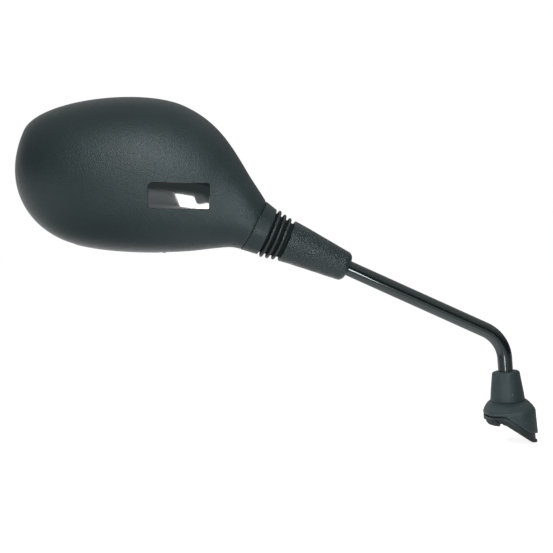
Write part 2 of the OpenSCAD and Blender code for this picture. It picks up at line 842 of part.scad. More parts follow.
// A plain ring, a cupped disc spring and a hexagon nut on the stem's thread
module washer(z, t, r) {
    translate([0, 0, z]) difference() {
        cylinder(r = r, h = t);
        translate([0, 0, -cut]) cylinder(r = thread_r + seat_gap, h = t + 2 * cut);
    }
}
module disc_spring(z, flip) {
    translate([0, 0, z + (flip ? disc_h : 0)]) mirror([0, 0, flip ? 1 : 0]) rotate_extrude() polygon([
        [disc_bore_r, disc_h - disc_t], [washer_r, 0], [washer_r, disc_t], [disc_bore_r, disc_h]
    ]);
}
module pocket_washer() {
    color("#b7bbbc") washer(pocket_washer_z, washer_t, washer_r);
}
module disc_spring_upper() {
    color("#8f9496") disc_spring(upper_disc_z, false);
}
module disc_spring_lower() {
    color("#8f9496") disc_spring(lower_disc_z, true);
}
module nut_washer() {
    color("#b7bbbc") washer(nut_washer_z, washer_t, washer_r);
}
module lock_nut() {
    nut_h = nut_washer_z - seat_gap - nut_z;
    color("#a9adae") translate([0, 0, nut_z]) difference() {
        cylinder(r = nut_flats / 2 / cos(30), h = nut_h, $fn = 6);
        translate([0, 0, -cut]) cylinder(r = thread_r + seat_gap, h = nut_h + 2 * cut);
    }
}

foot();
foot_pad();
base_boot();
stem();
pocket_washer();
disc_spring_upper();
disc_spring_lower();
nut_washer();
lock_nut();
neck_boot();
ball();
liner_mouth_half();
liner_rear_half();
housing();
socket();
pressure_cup();
clamp_spring();
spring_cap();
socket_screws();
backing_plate();
plate_screws();
adhesive_pad();
mirror_glass();
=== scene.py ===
"""Motorcycle mirror: a moulded shell with a convex glass on a bent steel stem.

A clamped ball joint sits under a ribbed rubber boot, and the stem turns in a rubber-covered foot.
Sizes are in millimetres until a piece is placed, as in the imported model.
"""
import bmesh
import bpy
import math
import numpy as np
from mathutils import Matrix, Vector
from mathutils.bvhtree import BVHTree


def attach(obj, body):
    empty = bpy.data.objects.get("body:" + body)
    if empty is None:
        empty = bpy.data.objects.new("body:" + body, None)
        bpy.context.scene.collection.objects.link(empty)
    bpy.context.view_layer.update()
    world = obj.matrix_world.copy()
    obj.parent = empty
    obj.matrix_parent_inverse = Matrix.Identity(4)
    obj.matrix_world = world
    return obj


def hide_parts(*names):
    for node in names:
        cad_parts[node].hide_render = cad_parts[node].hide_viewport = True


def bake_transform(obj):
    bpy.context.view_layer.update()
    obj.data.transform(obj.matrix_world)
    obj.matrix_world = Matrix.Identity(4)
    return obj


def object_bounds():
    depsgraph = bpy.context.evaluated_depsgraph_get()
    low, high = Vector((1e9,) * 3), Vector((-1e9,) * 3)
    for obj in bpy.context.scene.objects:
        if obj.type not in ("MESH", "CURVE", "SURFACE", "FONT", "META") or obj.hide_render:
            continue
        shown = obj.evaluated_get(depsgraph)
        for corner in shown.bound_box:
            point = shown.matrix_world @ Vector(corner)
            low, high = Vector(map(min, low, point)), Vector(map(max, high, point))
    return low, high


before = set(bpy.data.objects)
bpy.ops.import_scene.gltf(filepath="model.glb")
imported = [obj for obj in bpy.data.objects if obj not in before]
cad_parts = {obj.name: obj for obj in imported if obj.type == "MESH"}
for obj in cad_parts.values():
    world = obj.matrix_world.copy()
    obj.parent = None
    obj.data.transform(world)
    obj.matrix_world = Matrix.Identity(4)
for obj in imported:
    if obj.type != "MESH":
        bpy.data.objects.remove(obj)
cad_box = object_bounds()


# Foot: a die-cast aluminium plate with a hub for the stem, fixed to the fairing by two M6 screws.
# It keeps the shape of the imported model. The casting is shot-blasted and blackened, so it looks
# dull and slightly sandy, with a little metal shining through on its high spots.
def linear(code):
    """Linear colour of an sRGB hex code."""
    parts = [int(code[i:i + 2], 16) / 255 for i in (1, 3, 5)]
    return [c / 12.92 if c < 0.04045 else ((c + 0.055) / 1.055) ** 2.4 for c in parts] + [1.0]


def add_node(tree, kind, settings={}, values={}, links={}):
    """Adds a node to a tree, with its settings, the values of its sockets and the links into it."""
    node = tree.nodes.new(kind)
    for name, value in settings.items():
        setattr(node, name, value)
    for socket, value in values.items():
        node.inputs[socket].default_value = value
    for socket, source in links.items():
        tree.links.new(source, node.inputs[socket])
    return node


def new_material(name, **values):
    """Starts a material with the values of its shader.

    It gives the material, its node tree, its shader and its object coordinates.
    """
    made = bpy.data.materials.new(name)
    made.use_nodes = True
    tree = made.node_tree
    shader = tree.nodes["Principled BSDF"]
    for socket, value in values.items():
        shader.inputs[socket.replace("_", " ")].default_value = value
    return made, tree, shader, add_node(tree, "ShaderNodeTexCoord").outputs["Object"]


def feed(tree, shader, **sources):
    """Links outputs of nodes to sockets of a shader."""
    for socket, source in sources.items():
        tree.links.new(source, shader.inputs[socket.replace("_", " ")])


def dress(material, *nodes):
    """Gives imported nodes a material."""
    for name in nodes:
        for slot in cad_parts[name].material_slots:
            slot.material = material


# A noise's values mostly lie in this span, which is spread over a range of roughness
noise_span = {"From Min": 0.3, "From Max": 0.7}

# Blackened casting: shot-blasted grit of 0.5 mm, which gives a dull, sandy sparkle
casting, tree, shader, spot = new_material("blackened_cast_aluminium", Base_Color=linear("#383e40"),
                                           Metallic=1.0)
grit = add_node(tree, "ShaderNodeTexNoise", values={"Scale": 1800, "Detail": 3}, links={"Vector": spot})
rough = add_node(tree, "ShaderNodeMapRange", values={**noise_span, "To Min": 0.45, "To Max": 0.68},
                 links={"Value": grit.outputs["Fac"]})
relief = add_node(tree, "ShaderNodeBump", values={"Strength": 0.5, "Distance": 0.0001},
                  links={"Height": grit.outputs["Fac"]})
feed(tree, shader, Roughness=rough.outputs["Result"], Normal=relief.outputs["Normal"])
dress(casting, "foot")


# Foot pad: a moulded rubber pad between the foot and the fairing, with a step, a lug and a thin flap.
# It keeps the shape of the imported model. Its matte skin is a little darker in its low spots.
pad_rubber, tree, shader, spot = new_material("moulded_pad_rubber", IOR=1.42, Roughness=0.7)
pad_mottle = add_node(tree, "ShaderNodeTexNoise", values={"Scale": 260, "Detail": 5}, links={"Vector": spot})
# The tint is darker where the relief is low and lighter where it is raised
tint = add_node(tree, "ShaderNodeMix", {"data_type": "RGBA"},
                {6: linear("#12191a"), 7: linear("#1f2829")}, {0: pad_mottle.outputs["Fac"]})
relief = add_node(tree, "ShaderNodeBump", values={"Strength": 0.5, "Distance": 0.0002},
                  links={"Height": pad_mottle.outputs["Fac"]})
feed(tree, shader, Base_Color=tint.outputs[2], Normal=relief.outputs["Normal"])
dress(pad_rubber, "foot_pad")


# Base boot: a moulded rubber cover pushed over the foot, with a cone round the hub, a crease, a round
# shoulder and an oval skirt whose edge follows the seat. It is lofted from rings round the swivel axis.
def mix(a, b, t):
    """A value between a, at t = 0, and b, at t = 1."""
    return a + (b - a) * t


def arc(centre, radius, start, end, count):
    """Points on an arc round a centre in the plane, between two angles in degrees."""
    return [(centre[0] + radius * math.cos(a), centre[1] + radius * math.sin(a))
            for a in np.radians(np.linspace(start, end, count))]


def full_turn(sides):
    """Angles of a full turn in equal steps."""
    return np.arange(sides) * 2 * math.pi / sides


def signed_power(values, exponent):
    """Power of the size of each value, with the value's sign."""
    return np.sign(values) * np.abs(values) ** exponent


def loft(name, rings, wrap=False):
    """A closed mesh object in millimetres from rings of equal length, with its normals outwards.

    Its ends are flat, or the last ring is joined to the first one.
    """
    count, sides = len(rings), len(rings[0])
    points = np.concatenate(rings)
    faces = []
    for i in range(count if wrap else count - 1):
        k = (i + 1) % count
        for j in range(sides):
            n = (j + 1) % sides
            faces.append((i * sides + j, i * sides + n, k * sides + n, k * sides + j))
    if not wrap:
        faces.append(tuple(range(sides - 1, -1, -1)))
        faces.append(tuple((count - 1) * sides + j for j in range(sides)))
    mesh = bpy.data.meshes.new(name)
    mesh.from_pydata(points.tolist(), [], faces)
    skin = bmesh.new()
    skin.from_mesh(mesh)
    if skin.calc_volume(signed=True) < 0:
        bmesh.ops.reverse_faces(skin, faces=skin.faces)
    skin.to_mesh(mesh)
    skin.free()
    made = bpy.data.objects.new(name, mesh)
    bpy.context.scene.collection.objects.link(made)
    return made


def finish_piece(piece, place, material, sharp=35):
    """Moves a mesh from millimetres to its place in metres, smooths it and gives it its material."""
    piece.data.transform(place @ Matrix.Scale(0.001, 4))
    piece.data.shade_smooth()
    piece.data.set_sharp_from_angle(angle=math.radians(sharp))
    if material:
        piece.data.materials.append(material)
    return piece


boot_top, boot_lid, boot_hole = 31.2, 1.4, 5.55
cone_top, cone_foot, top_round = 9.7, 11.9, 2.2
crease_z, crease_dip = 12.2, 2.4
shoulder_foot, shoulder_share = 3.6, 2 / 1.38
skirt_x, skirt_y, skirt_middle, skirt_share, skirt_wall, skirt_flare = 17.4, 22.5, 0.6, 2 / 2.3, 1.3, 0.033
hole_round, crease_round = 0.4, 0.8
hub, lower_hub, hub_foot, hub_step = 8.1, 9.9, 7.7, 13.6
edge_level, edge_ridge, edge_toe, edge_round = 2.7, -7, 8, 0.6
edge_slope, edge_toe_slope = math.tan(math.radians(39.3)), math.tan(math.radians(17))
skirt_turn = full_turn(192)


def soft_ramp(u):
    """0 below 0 and u above it, with a round bend between them."""
    return (u + np.sqrt(u * u + edge_round ** 2)) / 2


def skirt_oval(inset):
    """The skirt's outline seen from above, moved in by inset."""
    return (skirt_middle + (skirt_x - inset) * signed_power(np.cos(skirt_turn), skirt_share),
            (skirt_y - inset) * signed_power(np.sin(skirt_turn), skirt_share))


def edge_height(x):
    """Height of the skirt's edge: level on the left, then steep, then gentle at the toe."""
    return (edge_level - edge_slope * soft_ramp(x - edge_ridge)
            + (edge_slope - edge_toe_slope) * soft_ramp(x - edge_toe))


def round_ring(radius, z, dip=0.0):
    """Ring round the swivel axis, lowered by dip at its front."""
    return np.stack([radius * np.cos(skirt_turn), radius * np.sin(skirt_turn),
                     z - dip * (1 - np.sin(skirt_turn)) / 2], axis=1)


def shoulder_ring(f, inset, drop=0.0):
    """Ring between the crease, at f = 0, and the top of the skirt, at f = 1."""
    x, y = skirt_oval(inset)
    start = round_ring(cone_foot - inset, crease_z, crease_dip)
    out = math.sin(f * math.pi / 2) ** shoulder_share
    down = 1 - max(0, math.cos(f * math.pi / 2)) ** shoulder_share
    return np.stack([mix(start[:, 0], x, out), mix(start[:, 1], y, out),
                     mix(start[:, 2], shoulder_foot, down) - drop], axis=1)


def skirt_ring(f, inset, lift=0.0):
    """Ring between the top of the skirt, at f = 0, and its sloping edge, at f = 1."""
    z = mix(shoulder_foot, edge_height(skirt_oval(inset)[0]), f)
    x, y = skirt_oval(inset - skirt_flare * (shoulder_foot - z))
    return np.stack([x, y, z + lift], axis=1)


# The rings run from the hole down the outside, round the edge and up the inside. The crease and the edge
# are rounded by rings with an inset and a lift each.
lid_z, cone_start, cone_stop = boot_top - boot_lid, boot_top - top_round, crease_z + crease_round
lid_line = [(boot_hole, lid_z)] + arc((boot_hole + hole_round, boot_top - hole_round), hole_round, 180, 90, 5)
lid_line += arc((cone_top - top_round, cone_start), top_round, 88, 8, 9)
boot_rings = [round_ring(r, z) for r, z in lid_line]
boot_rings += [round_ring(mix(cone_top, cone_foot, f), mix(cone_start, cone_stop, f), crease_dip * f ** 4)
               for f in (0.08, 0.25, 0.5, 0.75, 0.9, 1)]
boot_rings += [round_ring(cone_foot - inset, crease_z + lift, crease_dip)
               for inset, lift in ((0.03, 0.45), (0.14, 0.22), (0.3, 0.08), (0.34, 0), (0.26, -0.02))]
boot_rings += [shoulder_ring(f, 0) for f in np.linspace(0.1, 1, 16)]
boot_rings += [skirt_ring(f, 0) for f in (0.3, 0.6, 0.85)]
boot_rings += [skirt_ring(1, inset, lift) for inset, lift in ((0, 0.5), (0.1, 0.2), (0.3, 0.04), (0.5, 0))]
boot_rings += [skirt_ring(1, skirt_wall), skirt_ring(0, skirt_wall), shoulder_ring(0.6, skirt_wall, 0.3)]
boot_rings += [round_ring(r, z) for r, z in (
    (lower_hub, hub_foot), (lower_hub, hub_step), (hub, hub_step), (hub, lid_z))]
base_boot = loft("base_boot_skin", boot_rings, wrap=True)

# Moulded rubber of the foot's cover: a dull fine grain of 0.7 mm over slow stains of handling, and a few
# specks of dust. The black filler gives its sheen a cool tint, as on the other dark parts.
cool_sheen = linear("#eef9fc")
base_rubber, tree, shader, spot = new_material("moulded_cover_rubber", IOR=1.45, Specular_Tint=cool_sheen)
grain = add_node(tree, "ShaderNodeTexNoise", values={"Scale": 1400, "Detail": 2}, links={"Vector": spot})
stain = add_node(tree, "ShaderNodeTexNoise", values={"Scale": 90, "Detail": 3}, links={"Vector": spot})
tint = add_node(tree, "ShaderNodeMix", {"data_type": "RGBA"},
                {6: linear("#1b2527"), 7: linear("#253133")}, {0: stain.outputs["Fac"]})
fleck = add_node(tree, "ShaderNodeTexVoronoi", values={"Scale": 160}, links={"Vector": spot})
dusty = add_node(tree, "ShaderNodeMapRange", values={"From Min": 0.055, "From Max": 0.03},
                 links={"Value": fleck.outputs["Distance"]})
tinted = add_node(tree, "ShaderNodeMix", {"data_type": "RGBA"}, {7: linear("#8b9898")},
                  {0: dusty.outputs["Result"], 6: tint.outputs[2]})
rough = add_node(tree, "ShaderNodeMapRange", values={**noise_span, "To Min": 0.5, "To Max": 0.66},
                 links={"Value": grain.outputs["Fac"]})
relief = add_node(tree, "ShaderNodeBump", values={"Strength": 1.0, "Distance": 0.00025},
                  links={"Height": grain.outputs["Fac"]})
feed(tree, shader, Base_Color=tinted.outputs[2], Roughness=rough.outputs["Result"],
     Normal=relief.outputs["Normal"])
finish_piece(base_boot, Matrix.Identity(4), base_rubber)
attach(base_boot, "foot_group")
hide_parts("base_boot")


# Swivel fixings: zinc-plated washers and lock nut, and dull cupped disc springs between them.
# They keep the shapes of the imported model, in the foot's pocket, and show only from below.
def steel(name, colour, scale, detail, shiny, dull):
    """A bare metal whose roughness varies with fine marks."""
    made, tree, shader, spot = new_material(name, Base_Color=linear(colour), Metallic=1.0)
    marks = add_node(tree, "ShaderNodeTexNoise", values={"Scale": scale, "Detail": detail},
                     links={"Vector": spot})
    rough = add_node(tree, "ShaderNodeMapRange", values={**noise_span, "To Min": shiny, "To Max": dull},
                     links={"Value": marks.outputs["Fac"]})
    feed(tree, shader, Roughness=rough.outputs["Result"])
    return made


# Zinc plating is bright and satin, with a faint spangle of 2 mm. Blued spring steel is darker, with faint
# rolling marks of 1 mm.
zinc = steel("zinc_plated_steel", "#bcc0c2", 500, 4, 0.25, 0.42)
spring_steel = steel("blued_spring_steel", "#7c8388", 900, 2, 0.3, 0.45)
dress(zinc, "pocket_washer", "nut_washer", "lock_nut", "ball")
dress(spring_steel, "disc_spring_upper", "disc_spring_lower")


# Stem: a 10 mm steel rod, 10.5 mm with its thick gloss black powder coat, bent once, and with an M8 thread
# cut on its foot. It is swept along its bend as one smooth skin, from the thread up to the riveted head
# behind the ball, with a real helix for the thread.
rise = math.radians(28.8)
corner_height, run, bend_radius = 54, 172.5, 24
rod_radius, rod_flange, shank, spigot = 5.25, 7.25, 4, 3
thread_radius, thread_depth, thread_pitch, thread_steps = 4, 0.55, 1.25, 6
thread_from, thread_stop, thread_to, thread_lead_in, thread_chamfer = 0.3, 11.6, 12, 1.2, 0.4
# Heights on the rod's upright length and stations on its slope, from the ball's centre, with edge roundings
flange_foot, flange_top, upright_to, foot_edge = 28.25, 29.45, 33, 0.3
slope_from, slope_middle, rod_end, end_edge, shank_end = -100, -60, -14, 0.2, -6.55
rivet_seat, rivet_dome = 4.05, ((4.3, 4.05), (4.3, 5.0), (3.6, 5.6), (2.5, 5.75))
rod_turn = full_turn(96)
bend_turn = math.pi / 2 - rise
tangent = bend_radius * math.tan(bend_turn / 2)
bend_start = corner_height - tangent


def rod_ring(radius, centre, lean):
    """Ring across the rod round a point of its middle line, leaning by the angle that the rod has turned."""
    out = radius * np.cos(rod_turn)
    return np.stack([centre[0] + out * math.cos(lean), radius * np.sin(rod_turn),
                     centre[1] + out * math.sin(lean)], axis=1)


def upper_point(station):
    """Point of the middle line above the bend, as (x, z), at a station from the ball's centre."""
    return (-(run + station) * math.cos(rise), corner_height + (run + station) * math.sin(rise))


# The thread is a triangular wave round the rod, which goes round once for each pitch
rod_rings = []
for z in np.arange(thread_from, thread_stop, thread_pitch / thread_steps):
    phase = (z / thread_pitch + rod_turn / (2 * math.pi)) % 1
    full = min(1, (z - thread_from) / thread_lead_in)
    cut = mix(thread_depth, 1, full) * thread_depth * np.abs(2 * phase - 1)
    rod_rings.append(rod_ring(thread_radius - cut - (1 - full) * thread_chamfer, (0, z), 0))
rod_rings += [rod_ring(r, (0, z), 0) for r, z in (
    (thread_radius, thread_to), (rod_radius - foot_edge, thread_to), (rod_radius, thread_to + foot_edge),
    (rod_radius, flange_foot), (rod_flange, flange_foot), (rod_flange, flange_top), (rod_radius, flange_top),
    (rod_radius, upright_to))]
bend_line = arc((-bend_radius, bend_start), bend_radius, 0, math.degrees(bend_turn), 48)
rod_rings += [rod_ring(rod_radius, point, a) for point, a in zip(bend_line, np.linspace(0, bend_turn, 48))]
rod_rings += [rod_ring(r, upper_point(z), bend_turn) for r, z in (
    (rod_radius, slope_from), (rod_radius, slope_middle), (rod_radius, rod_end - end_edge),
    (rod_radius - end_edge, rod_end), (shank, rod_end), (shank, shank_end), (spigot, shank_end),
    (spigot, rivet_seat)) + rivet_dome]
stem_rod = loft("stem_rod", rod_rings)
bare = [face.index for face in stem_rod.data.polygons if face.center.z < thread_to + 0.01]

# Baked powder coat: thick and smooth, so it mirrors the studio as sharp bands, and its faint waves of
# 2 mm bend their edges
stem_paint, tree, shader, spot = new_material("gloss_black_powder_coat", Base_Color=linear("#0e1516"),
                                              IOR=1.58, Specular_Tint=cool_sheen)
waves = add_node(tree, "ShaderNodeTexNoise", values={"Scale": 420, "Detail": 1}, links={"Vector": spot})
rough = add_node(tree, "ShaderNodeMapRange", values={**noise_span, "To Min": 0.05, "To Max": 0.12},
                 links={"Value": waves.outputs["Fac"]})
relief = add_node(tree, "ShaderNodeBump", values={"Strength": 0.15, "Distance": 0.00005},
                  links={"Height": waves.outputs["Fac"]})
feed(tree, shader, Roughness=rough.outputs["Result"], Normal=relief.outputs["Normal"])
finish_piece(stem_rod, Matrix.Identity(4), stem_paint)
stem_rod.data.materials.append(zinc)
for index in bare:
    stem_rod.data.polygons[index].material_index = 1
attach(stem_rod, "stem_group")
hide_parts("stem")


# Neck boot: one rubber moulding on the stem, with a grainy sleeve, three thin ribs round the ball and
# a collar on the shell's neck. It is turned about the neck in five lengths, and each length shares its
# end ring with the next.
along_neck = Vector((-math.cos(rise), 0, math.sin(rise)))
up_neck = Vector((math.sin(rise), 0, math.cos(rise)))
ball_centre = (Vector((0, 0, corner_height)) + along_neck * run) / 1000
at_neck = Matrix((up_neck, (0, 1, 0), along_neck)).transposed().to_4x4()
at_neck.translation = ball_centre

# Boot rubber: the sleeve's mould was blasted, so its skin has grains of about 1 mm and shinier patches
# where hands have rubbed it, and the lamp breaks up on them into specks. Ribs and collar are smoother.
# The bottoms of the grooves are made rougher and painted near black, as shade.
def boot_skin(name, relief_height, shiny, dull):
    """A boot rubber with grains of a height in metres, and a roughness between shiny and dull."""
    made, tree, shader, spot = new_material(name, IOR=1.45, Specular_Tint=cool_sheen)
    grain = add_node(tree, "ShaderNodeTexNoise", values={"Scale": 1000, "Detail": 2}, links={"Vector": spot})
    stain = add_node(tree, "ShaderNodeTexNoise", values={"Scale": 160, "Detail": 4}, links={"Vector": spot})
    tint = add_node(tree, "ShaderNodeMix", {"data_type": "RGBA"},
                    {6: linear("#121b1c"), 7: linear("#202c2d")}, {0: stain.outputs["Fac"]})
    # Painted shade: the groove mask darkens the rubber to near black at the groove bottoms, and roughens it
    deep = add_node(tree, "ShaderNodeAttribute", {"attribute_name": "groove_shade_mask"})
    shaded = add_node(tree, "ShaderNodeMix", {"data_type": "RGBA"}, {7: linear("#06090a")},
                      {0: deep.outputs["Fac"], 6: tint.outputs[2]})
    rough = add_node(tree, "ShaderNodeMapRange",
                     values={"From Min": 0.4, "From Max": 0.6, "To Min": shiny, "To Max": dull},
                     links={"Value": stain.outputs["Fac"]})
    groove_roughness = add_node(tree, "ShaderNodeMath", {"operation": "MAXIMUM"},
                        links={0: rough.outputs["Result"], 1: deep.outputs["Fac"]})
    relief = add_node(tree, "ShaderNodeBump", values={"Strength": 1.0, "Distance": relief_height},
                      links={"Height": grain.outputs["Fac"]})
    feed(tree, shader, Base_Color=shaded.outputs[2], Roughness=groove_roughness.outputs[0],
         Normal=relief.outputs["Normal"])
    return made


sleeve_rubber = boot_skin("grained_sleeve_rubber", 0.0006, 0.22, 0.42)
rib_rubber = boot_skin("smooth_rib_rubber", 0.00015, 0.38, 0.5)

# Stations along the neck from the ball's centre, and radii of the boot's outline
sleeve_from, sleeve_to, sleeve_round = -53.6, -7.6, 4.5
sleeve_small, sleeve_big, sleeve_hole = 10.4, 14.7, 5.3
twist_from, swing_to = -20, -1.75
rib_first, rib_pitch, rib_radius, rib_growth, rib_height, rib_round = -3.8, 4.1, 15.4, 0.85, 2.9, 0.95
sag, sag_length = 0.6, 10
collar_from, collar_to, collar_radius, collar_taper = 7.1, 16.9, 18.3, 1.7
boot_bore, bore_from, hole_to = 12.0, -13, -16
neck_radius, neck_gap, joint_tilt = 15.9, 0.3, 0.075
# Roundings and fillets, and radii of the grooves beside the sleeve, at the shared ring and at the collar
sleeve_edge, collar_round, collar_edge = 0.5, 0.5, 0.3
groove_fillet, rib_fillet, collar_fillet = 0.6, 0.2, 0.4
sleeve_groove, shared_groove, collar_groove = 13.8, 13.25, 14.7
collar_lead, collar_wall, collar_hole, collar_inside = 0.6, 1.7, 12.6, neck_radius + 0.1
boot_turn = full_turn(144)


def smooth(f):
    """0 up to f = 0 and 1 from f = 1, with a soft start and end."""
    f = np.clip(f, 0, 1)
    return f * f * (3 - 2 * f)


def joint_shift(up, share):
    """How far the leaning joint between collar and shell moves a point along the neck."""
    return share * (neck_gap - joint_tilt * up)


def groove_shade_mask(r, z):
    """0 on the crests of the ribs and outside them, and 1 on the groove bottoms, which get painted shade."""
    if not sleeve_to <= z <= collar_from:
        return 0.0
    return float(smooth((rib_radius + rib_growth * (z - rib_first) / rib_pitch - r) / rib_height))


def turned(name, line, wall, rubber=rib_rubber):
    """One length of the boot: its outline turned about the neck, and closed by its bore."""
    rings = []
    for r, z in line + wall:
        up = r * np.cos(boot_turn)
        station = z + joint_shift(up, smooth((z - collar_from) / (collar_to - collar_from)))
        hang = sag * math.exp(-(z / sag_length) ** 2)
        rings.append(np.stack([up - hang, r * np.sin(boot_turn), station], axis=1))
    piece = finish_piece(loft(name, rings, wrap=True), at_neck, rubber)
    # Each ring's share of the painted groove shade
    groove_shades = [groove_shade_mask(r, z) for r, z in line + wall]
    piece.data.attributes.new("groove_shade_mask", "FLOAT", "POINT").data.foreach_set(
        "value", np.repeat(groove_shades, len(boot_turn)))
    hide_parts("neck_boot")
    return piece


def sleeve_point(f):
    """Point of the sleeve's slope, as (radius, station), between its nose and its wide end."""
    return mix(sleeve_small, sleeve_big, f), mix(sleeve_start, sleeve_stop, f)


sleeve_start, sleeve_stop = sleeve_from + sleeve_round, sleeve_to - sleeve_edge
split = (twist_from - sleeve_start) / (sleeve_stop - sleeve_start)
sleeve_line = [(sleeve_hole, sleeve_from)]
sleeve_line += arc((sleeve_small - sleeve_round, sleeve_start), sleeve_round, -90, 0, 15)
sleeve_line += [sleeve_point(f) for f in np.linspace(0.04, split, 18)]
twist_line = [sleeve_point(f) for f in np.linspace(split, 0.99, 16)]
twist_line += arc((sleeve_big - sleeve_edge, sleeve_stop), sleeve_edge, 0, 90, 5)
ribs = []
for i in range(3):
    station, radius = rib_first + rib_pitch * i, rib_radius + rib_growth * i
    ribs += [(radius - rib_height, station - rib_round - rib_fillet)]
    ribs += arc((radius - rib_round, station), rib_round, -90, 90, 13)
    ribs += [(radius - rib_height, station + rib_round + rib_fillet)]
shared_ring = [(shared_groove, swing_to)]
swing_line = [(sleeve_groove, sleeve_to), (rib_radius - rib_height, sleeve_to + groove_fillet)]
swing_line += [p for p in ribs if p[1] < swing_to] + shared_ring
pan_line = shared_ring + [p for p in ribs if p[1] > swing_to]
pan_line += [(collar_groove - collar_fillet, collar_from - collar_fillet), (collar_groove, collar_from)]
collar_small, collar_rim = collar_radius - collar_taper, collar_to - collar_edge
collar_line = [(collar_groove, collar_from), (neck_radius, collar_from)]
collar_line += arc((collar_small - collar_round, collar_from + collar_round), collar_round, -90, -5, 6)
collar_line += [(mix(collar_small, collar_radius, f), mix(collar_from + collar_lead, collar_rim, f))
                for f in np.linspace(0.1, 1, 8)]
collar_line += arc((collar_radius - collar_edge, collar_rim), collar_edge, 0, 90, 4)
collar_line += [(collar_inside, collar_to)]

sleeve = turned("boot_sleeve", sleeve_line, [(sleeve_hole, twist_from)], sleeve_rubber)
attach(sleeve, "stem_group")
sleeve_end = turned("boot_sleeve_end", twist_line, [
    (boot_bore, sleeve_to), (boot_bore, bore_from), (sleeve_hole, hole_to), (sleeve_hole, twist_from)],
    sleeve_rubber)
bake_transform(sleeve_end)
first_rib = turned("boot_ribs_stem_side", swing_line, [(boot_bore, swing_to), (boot_bore, sleeve_to)])
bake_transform(first_rib)
next_ribs = turned("boot_ribs_shell_side", pan_line, [(boot_bore, collar_from), (boot_bore, swing_to)])
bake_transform(next_ribs)
collar_floor = collar_from + collar_wall
collar = turned("boot_collar", collar_line,
                [(collar_inside, collar_floor), (collar_hole, collar_floor), (boot_bore, collar_from)])
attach(collar, "head_group")


# Ball joint: a zinc-plated ball in a split nylon liner, clamped in a cast socket. These parts keep the
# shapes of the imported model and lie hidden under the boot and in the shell.

# Moulded nylon: cream, waxy and a little cloudy, with clouds of 3 mm
nylon, tree, shader, spot = new_material("natural_nylon", IOR=1.53, Roughness=0.38, Subsurface_Weight=0.1)
cloud = add_node(tree, "ShaderNodeTexNoise", values={"Scale": 300, "Detail": 2}, links={"Vector": spot})
tint = add_node(tree, "ShaderNodeMix", {"data_type": "RGBA"},
                {6: linear("#d9d5c6"), 7: linear("#cfcab8")}, {0: cloud.outputs["Fac"]})
feed(tree, shader, Base_Color=tint.outputs[2])
dress(nylon, "liner_mouth_half", "liner_rear_half", "pressure_cup")
dress(casting, "socket", "spring_cap")


# Clamp spring: three turns of 1.8 mm spring wire between the pressure cup and the cap, which give the
# ball its friction. It is a round wire swept along a spiral, with inputs for its wire, radius and turns.
def new_tree(name, **sizes):
    """Starts a Geometry Nodes tree with named number inputs, and gives its input and output nodes too."""
    made = bpy.data.node_groups.new(name, "GeometryNodeTree")
    made.interface.new_socket("Places", in_out="INPUT", socket_type="NodeSocketGeometry")
    for label, size in sizes.items():
        kind = "NodeSocketInt" if isinstance(size, int) else "NodeSocketFloat"
        made.interface.new_socket(label, in_out="INPUT", socket_type=kind).default_value = size
    made.interface.new_socket("Mesh", in_out="OUTPUT", socket_type="NodeSocketGeometry")
    return made, add_node(made, "NodeGroupInput"), add_node(made, "NodeGroupOutput")


def grown(name, tree, places, sizes, material):
    """A plain mesh object that a tree grows on points in millimetres, with the sizes given to its inputs."""
    mesh = bpy.data.meshes.new(name)
    mesh.from_pydata(places, [], [])
    seed = bpy.data.objects.new(name, mesh)
    bpy.context.scene.collection.objects.link(seed)
    step = seed.modifiers.new("grow", "NODES")
    step.node_group = tree
    for socket in tree.interface.items_tree:
        if socket.name in sizes:
            step[socket.identifier] = sizes[socket.name]
    bpy.context.view_layer.update()
    seed.data = bpy.data.meshes.new_from_object(seed.evaluated_get(bpy.context.evaluated_depsgraph_get()))
    seed.modifiers.clear()
    seed.data.materials.clear()
    return finish_piece(seed, at_neck, material)


coil, given, result = new_tree("wire_coil", wire=0.9, radius=8.5, turns=3, start=12.9, height=10.1)
spiral = add_node(coil, "GeometryNodeCurveSpiral", values={"Resolution": 48},
                  links={"Rotations": given.outputs["turns"], "Start Radius": given.outputs["radius"],
                         "End Radius": given.outputs["radius"], "Height": given.outputs["height"]})
wire_round = add_node(coil, "GeometryNodeCurvePrimitiveCircle", values={"Resolution": 16},
                      links={"Radius": given.outputs["wire"]})
wire = add_node(coil, "GeometryNodeCurveToMesh", values={"Fill Caps": True},
                links={"Curve": spiral.outputs["Curve"], "Profile Curve": wire_round.outputs["Curve"]})
lift = add_node(coil, "ShaderNodeCombineXYZ", links={"Z": given.outputs["start"]})
raised = add_node(coil, "GeometryNodeTransform", links={"Geometry": wire.outputs["Mesh"],
                                                        "Translation": lift.outputs["Vector"]})
real = add_node(coil, "GeometryNodeRealizeInstances", links={"Geometry": raised.outputs["Geometry"]})
coated = add_node(coil, "GeometryNodeSetMaterial", values={"Material": spring_steel},
                  links={"Geometry": real.outputs["Geometry"]})
coil.links.new(coated.outputs["Geometry"], result.inputs["Mesh"])
clamp_spring = grown("clamp_spring_wire", coil, [(0, 0, 0)], {}, spring_steel)
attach(clamp_spring, "head_group")
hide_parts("clamp_spring")


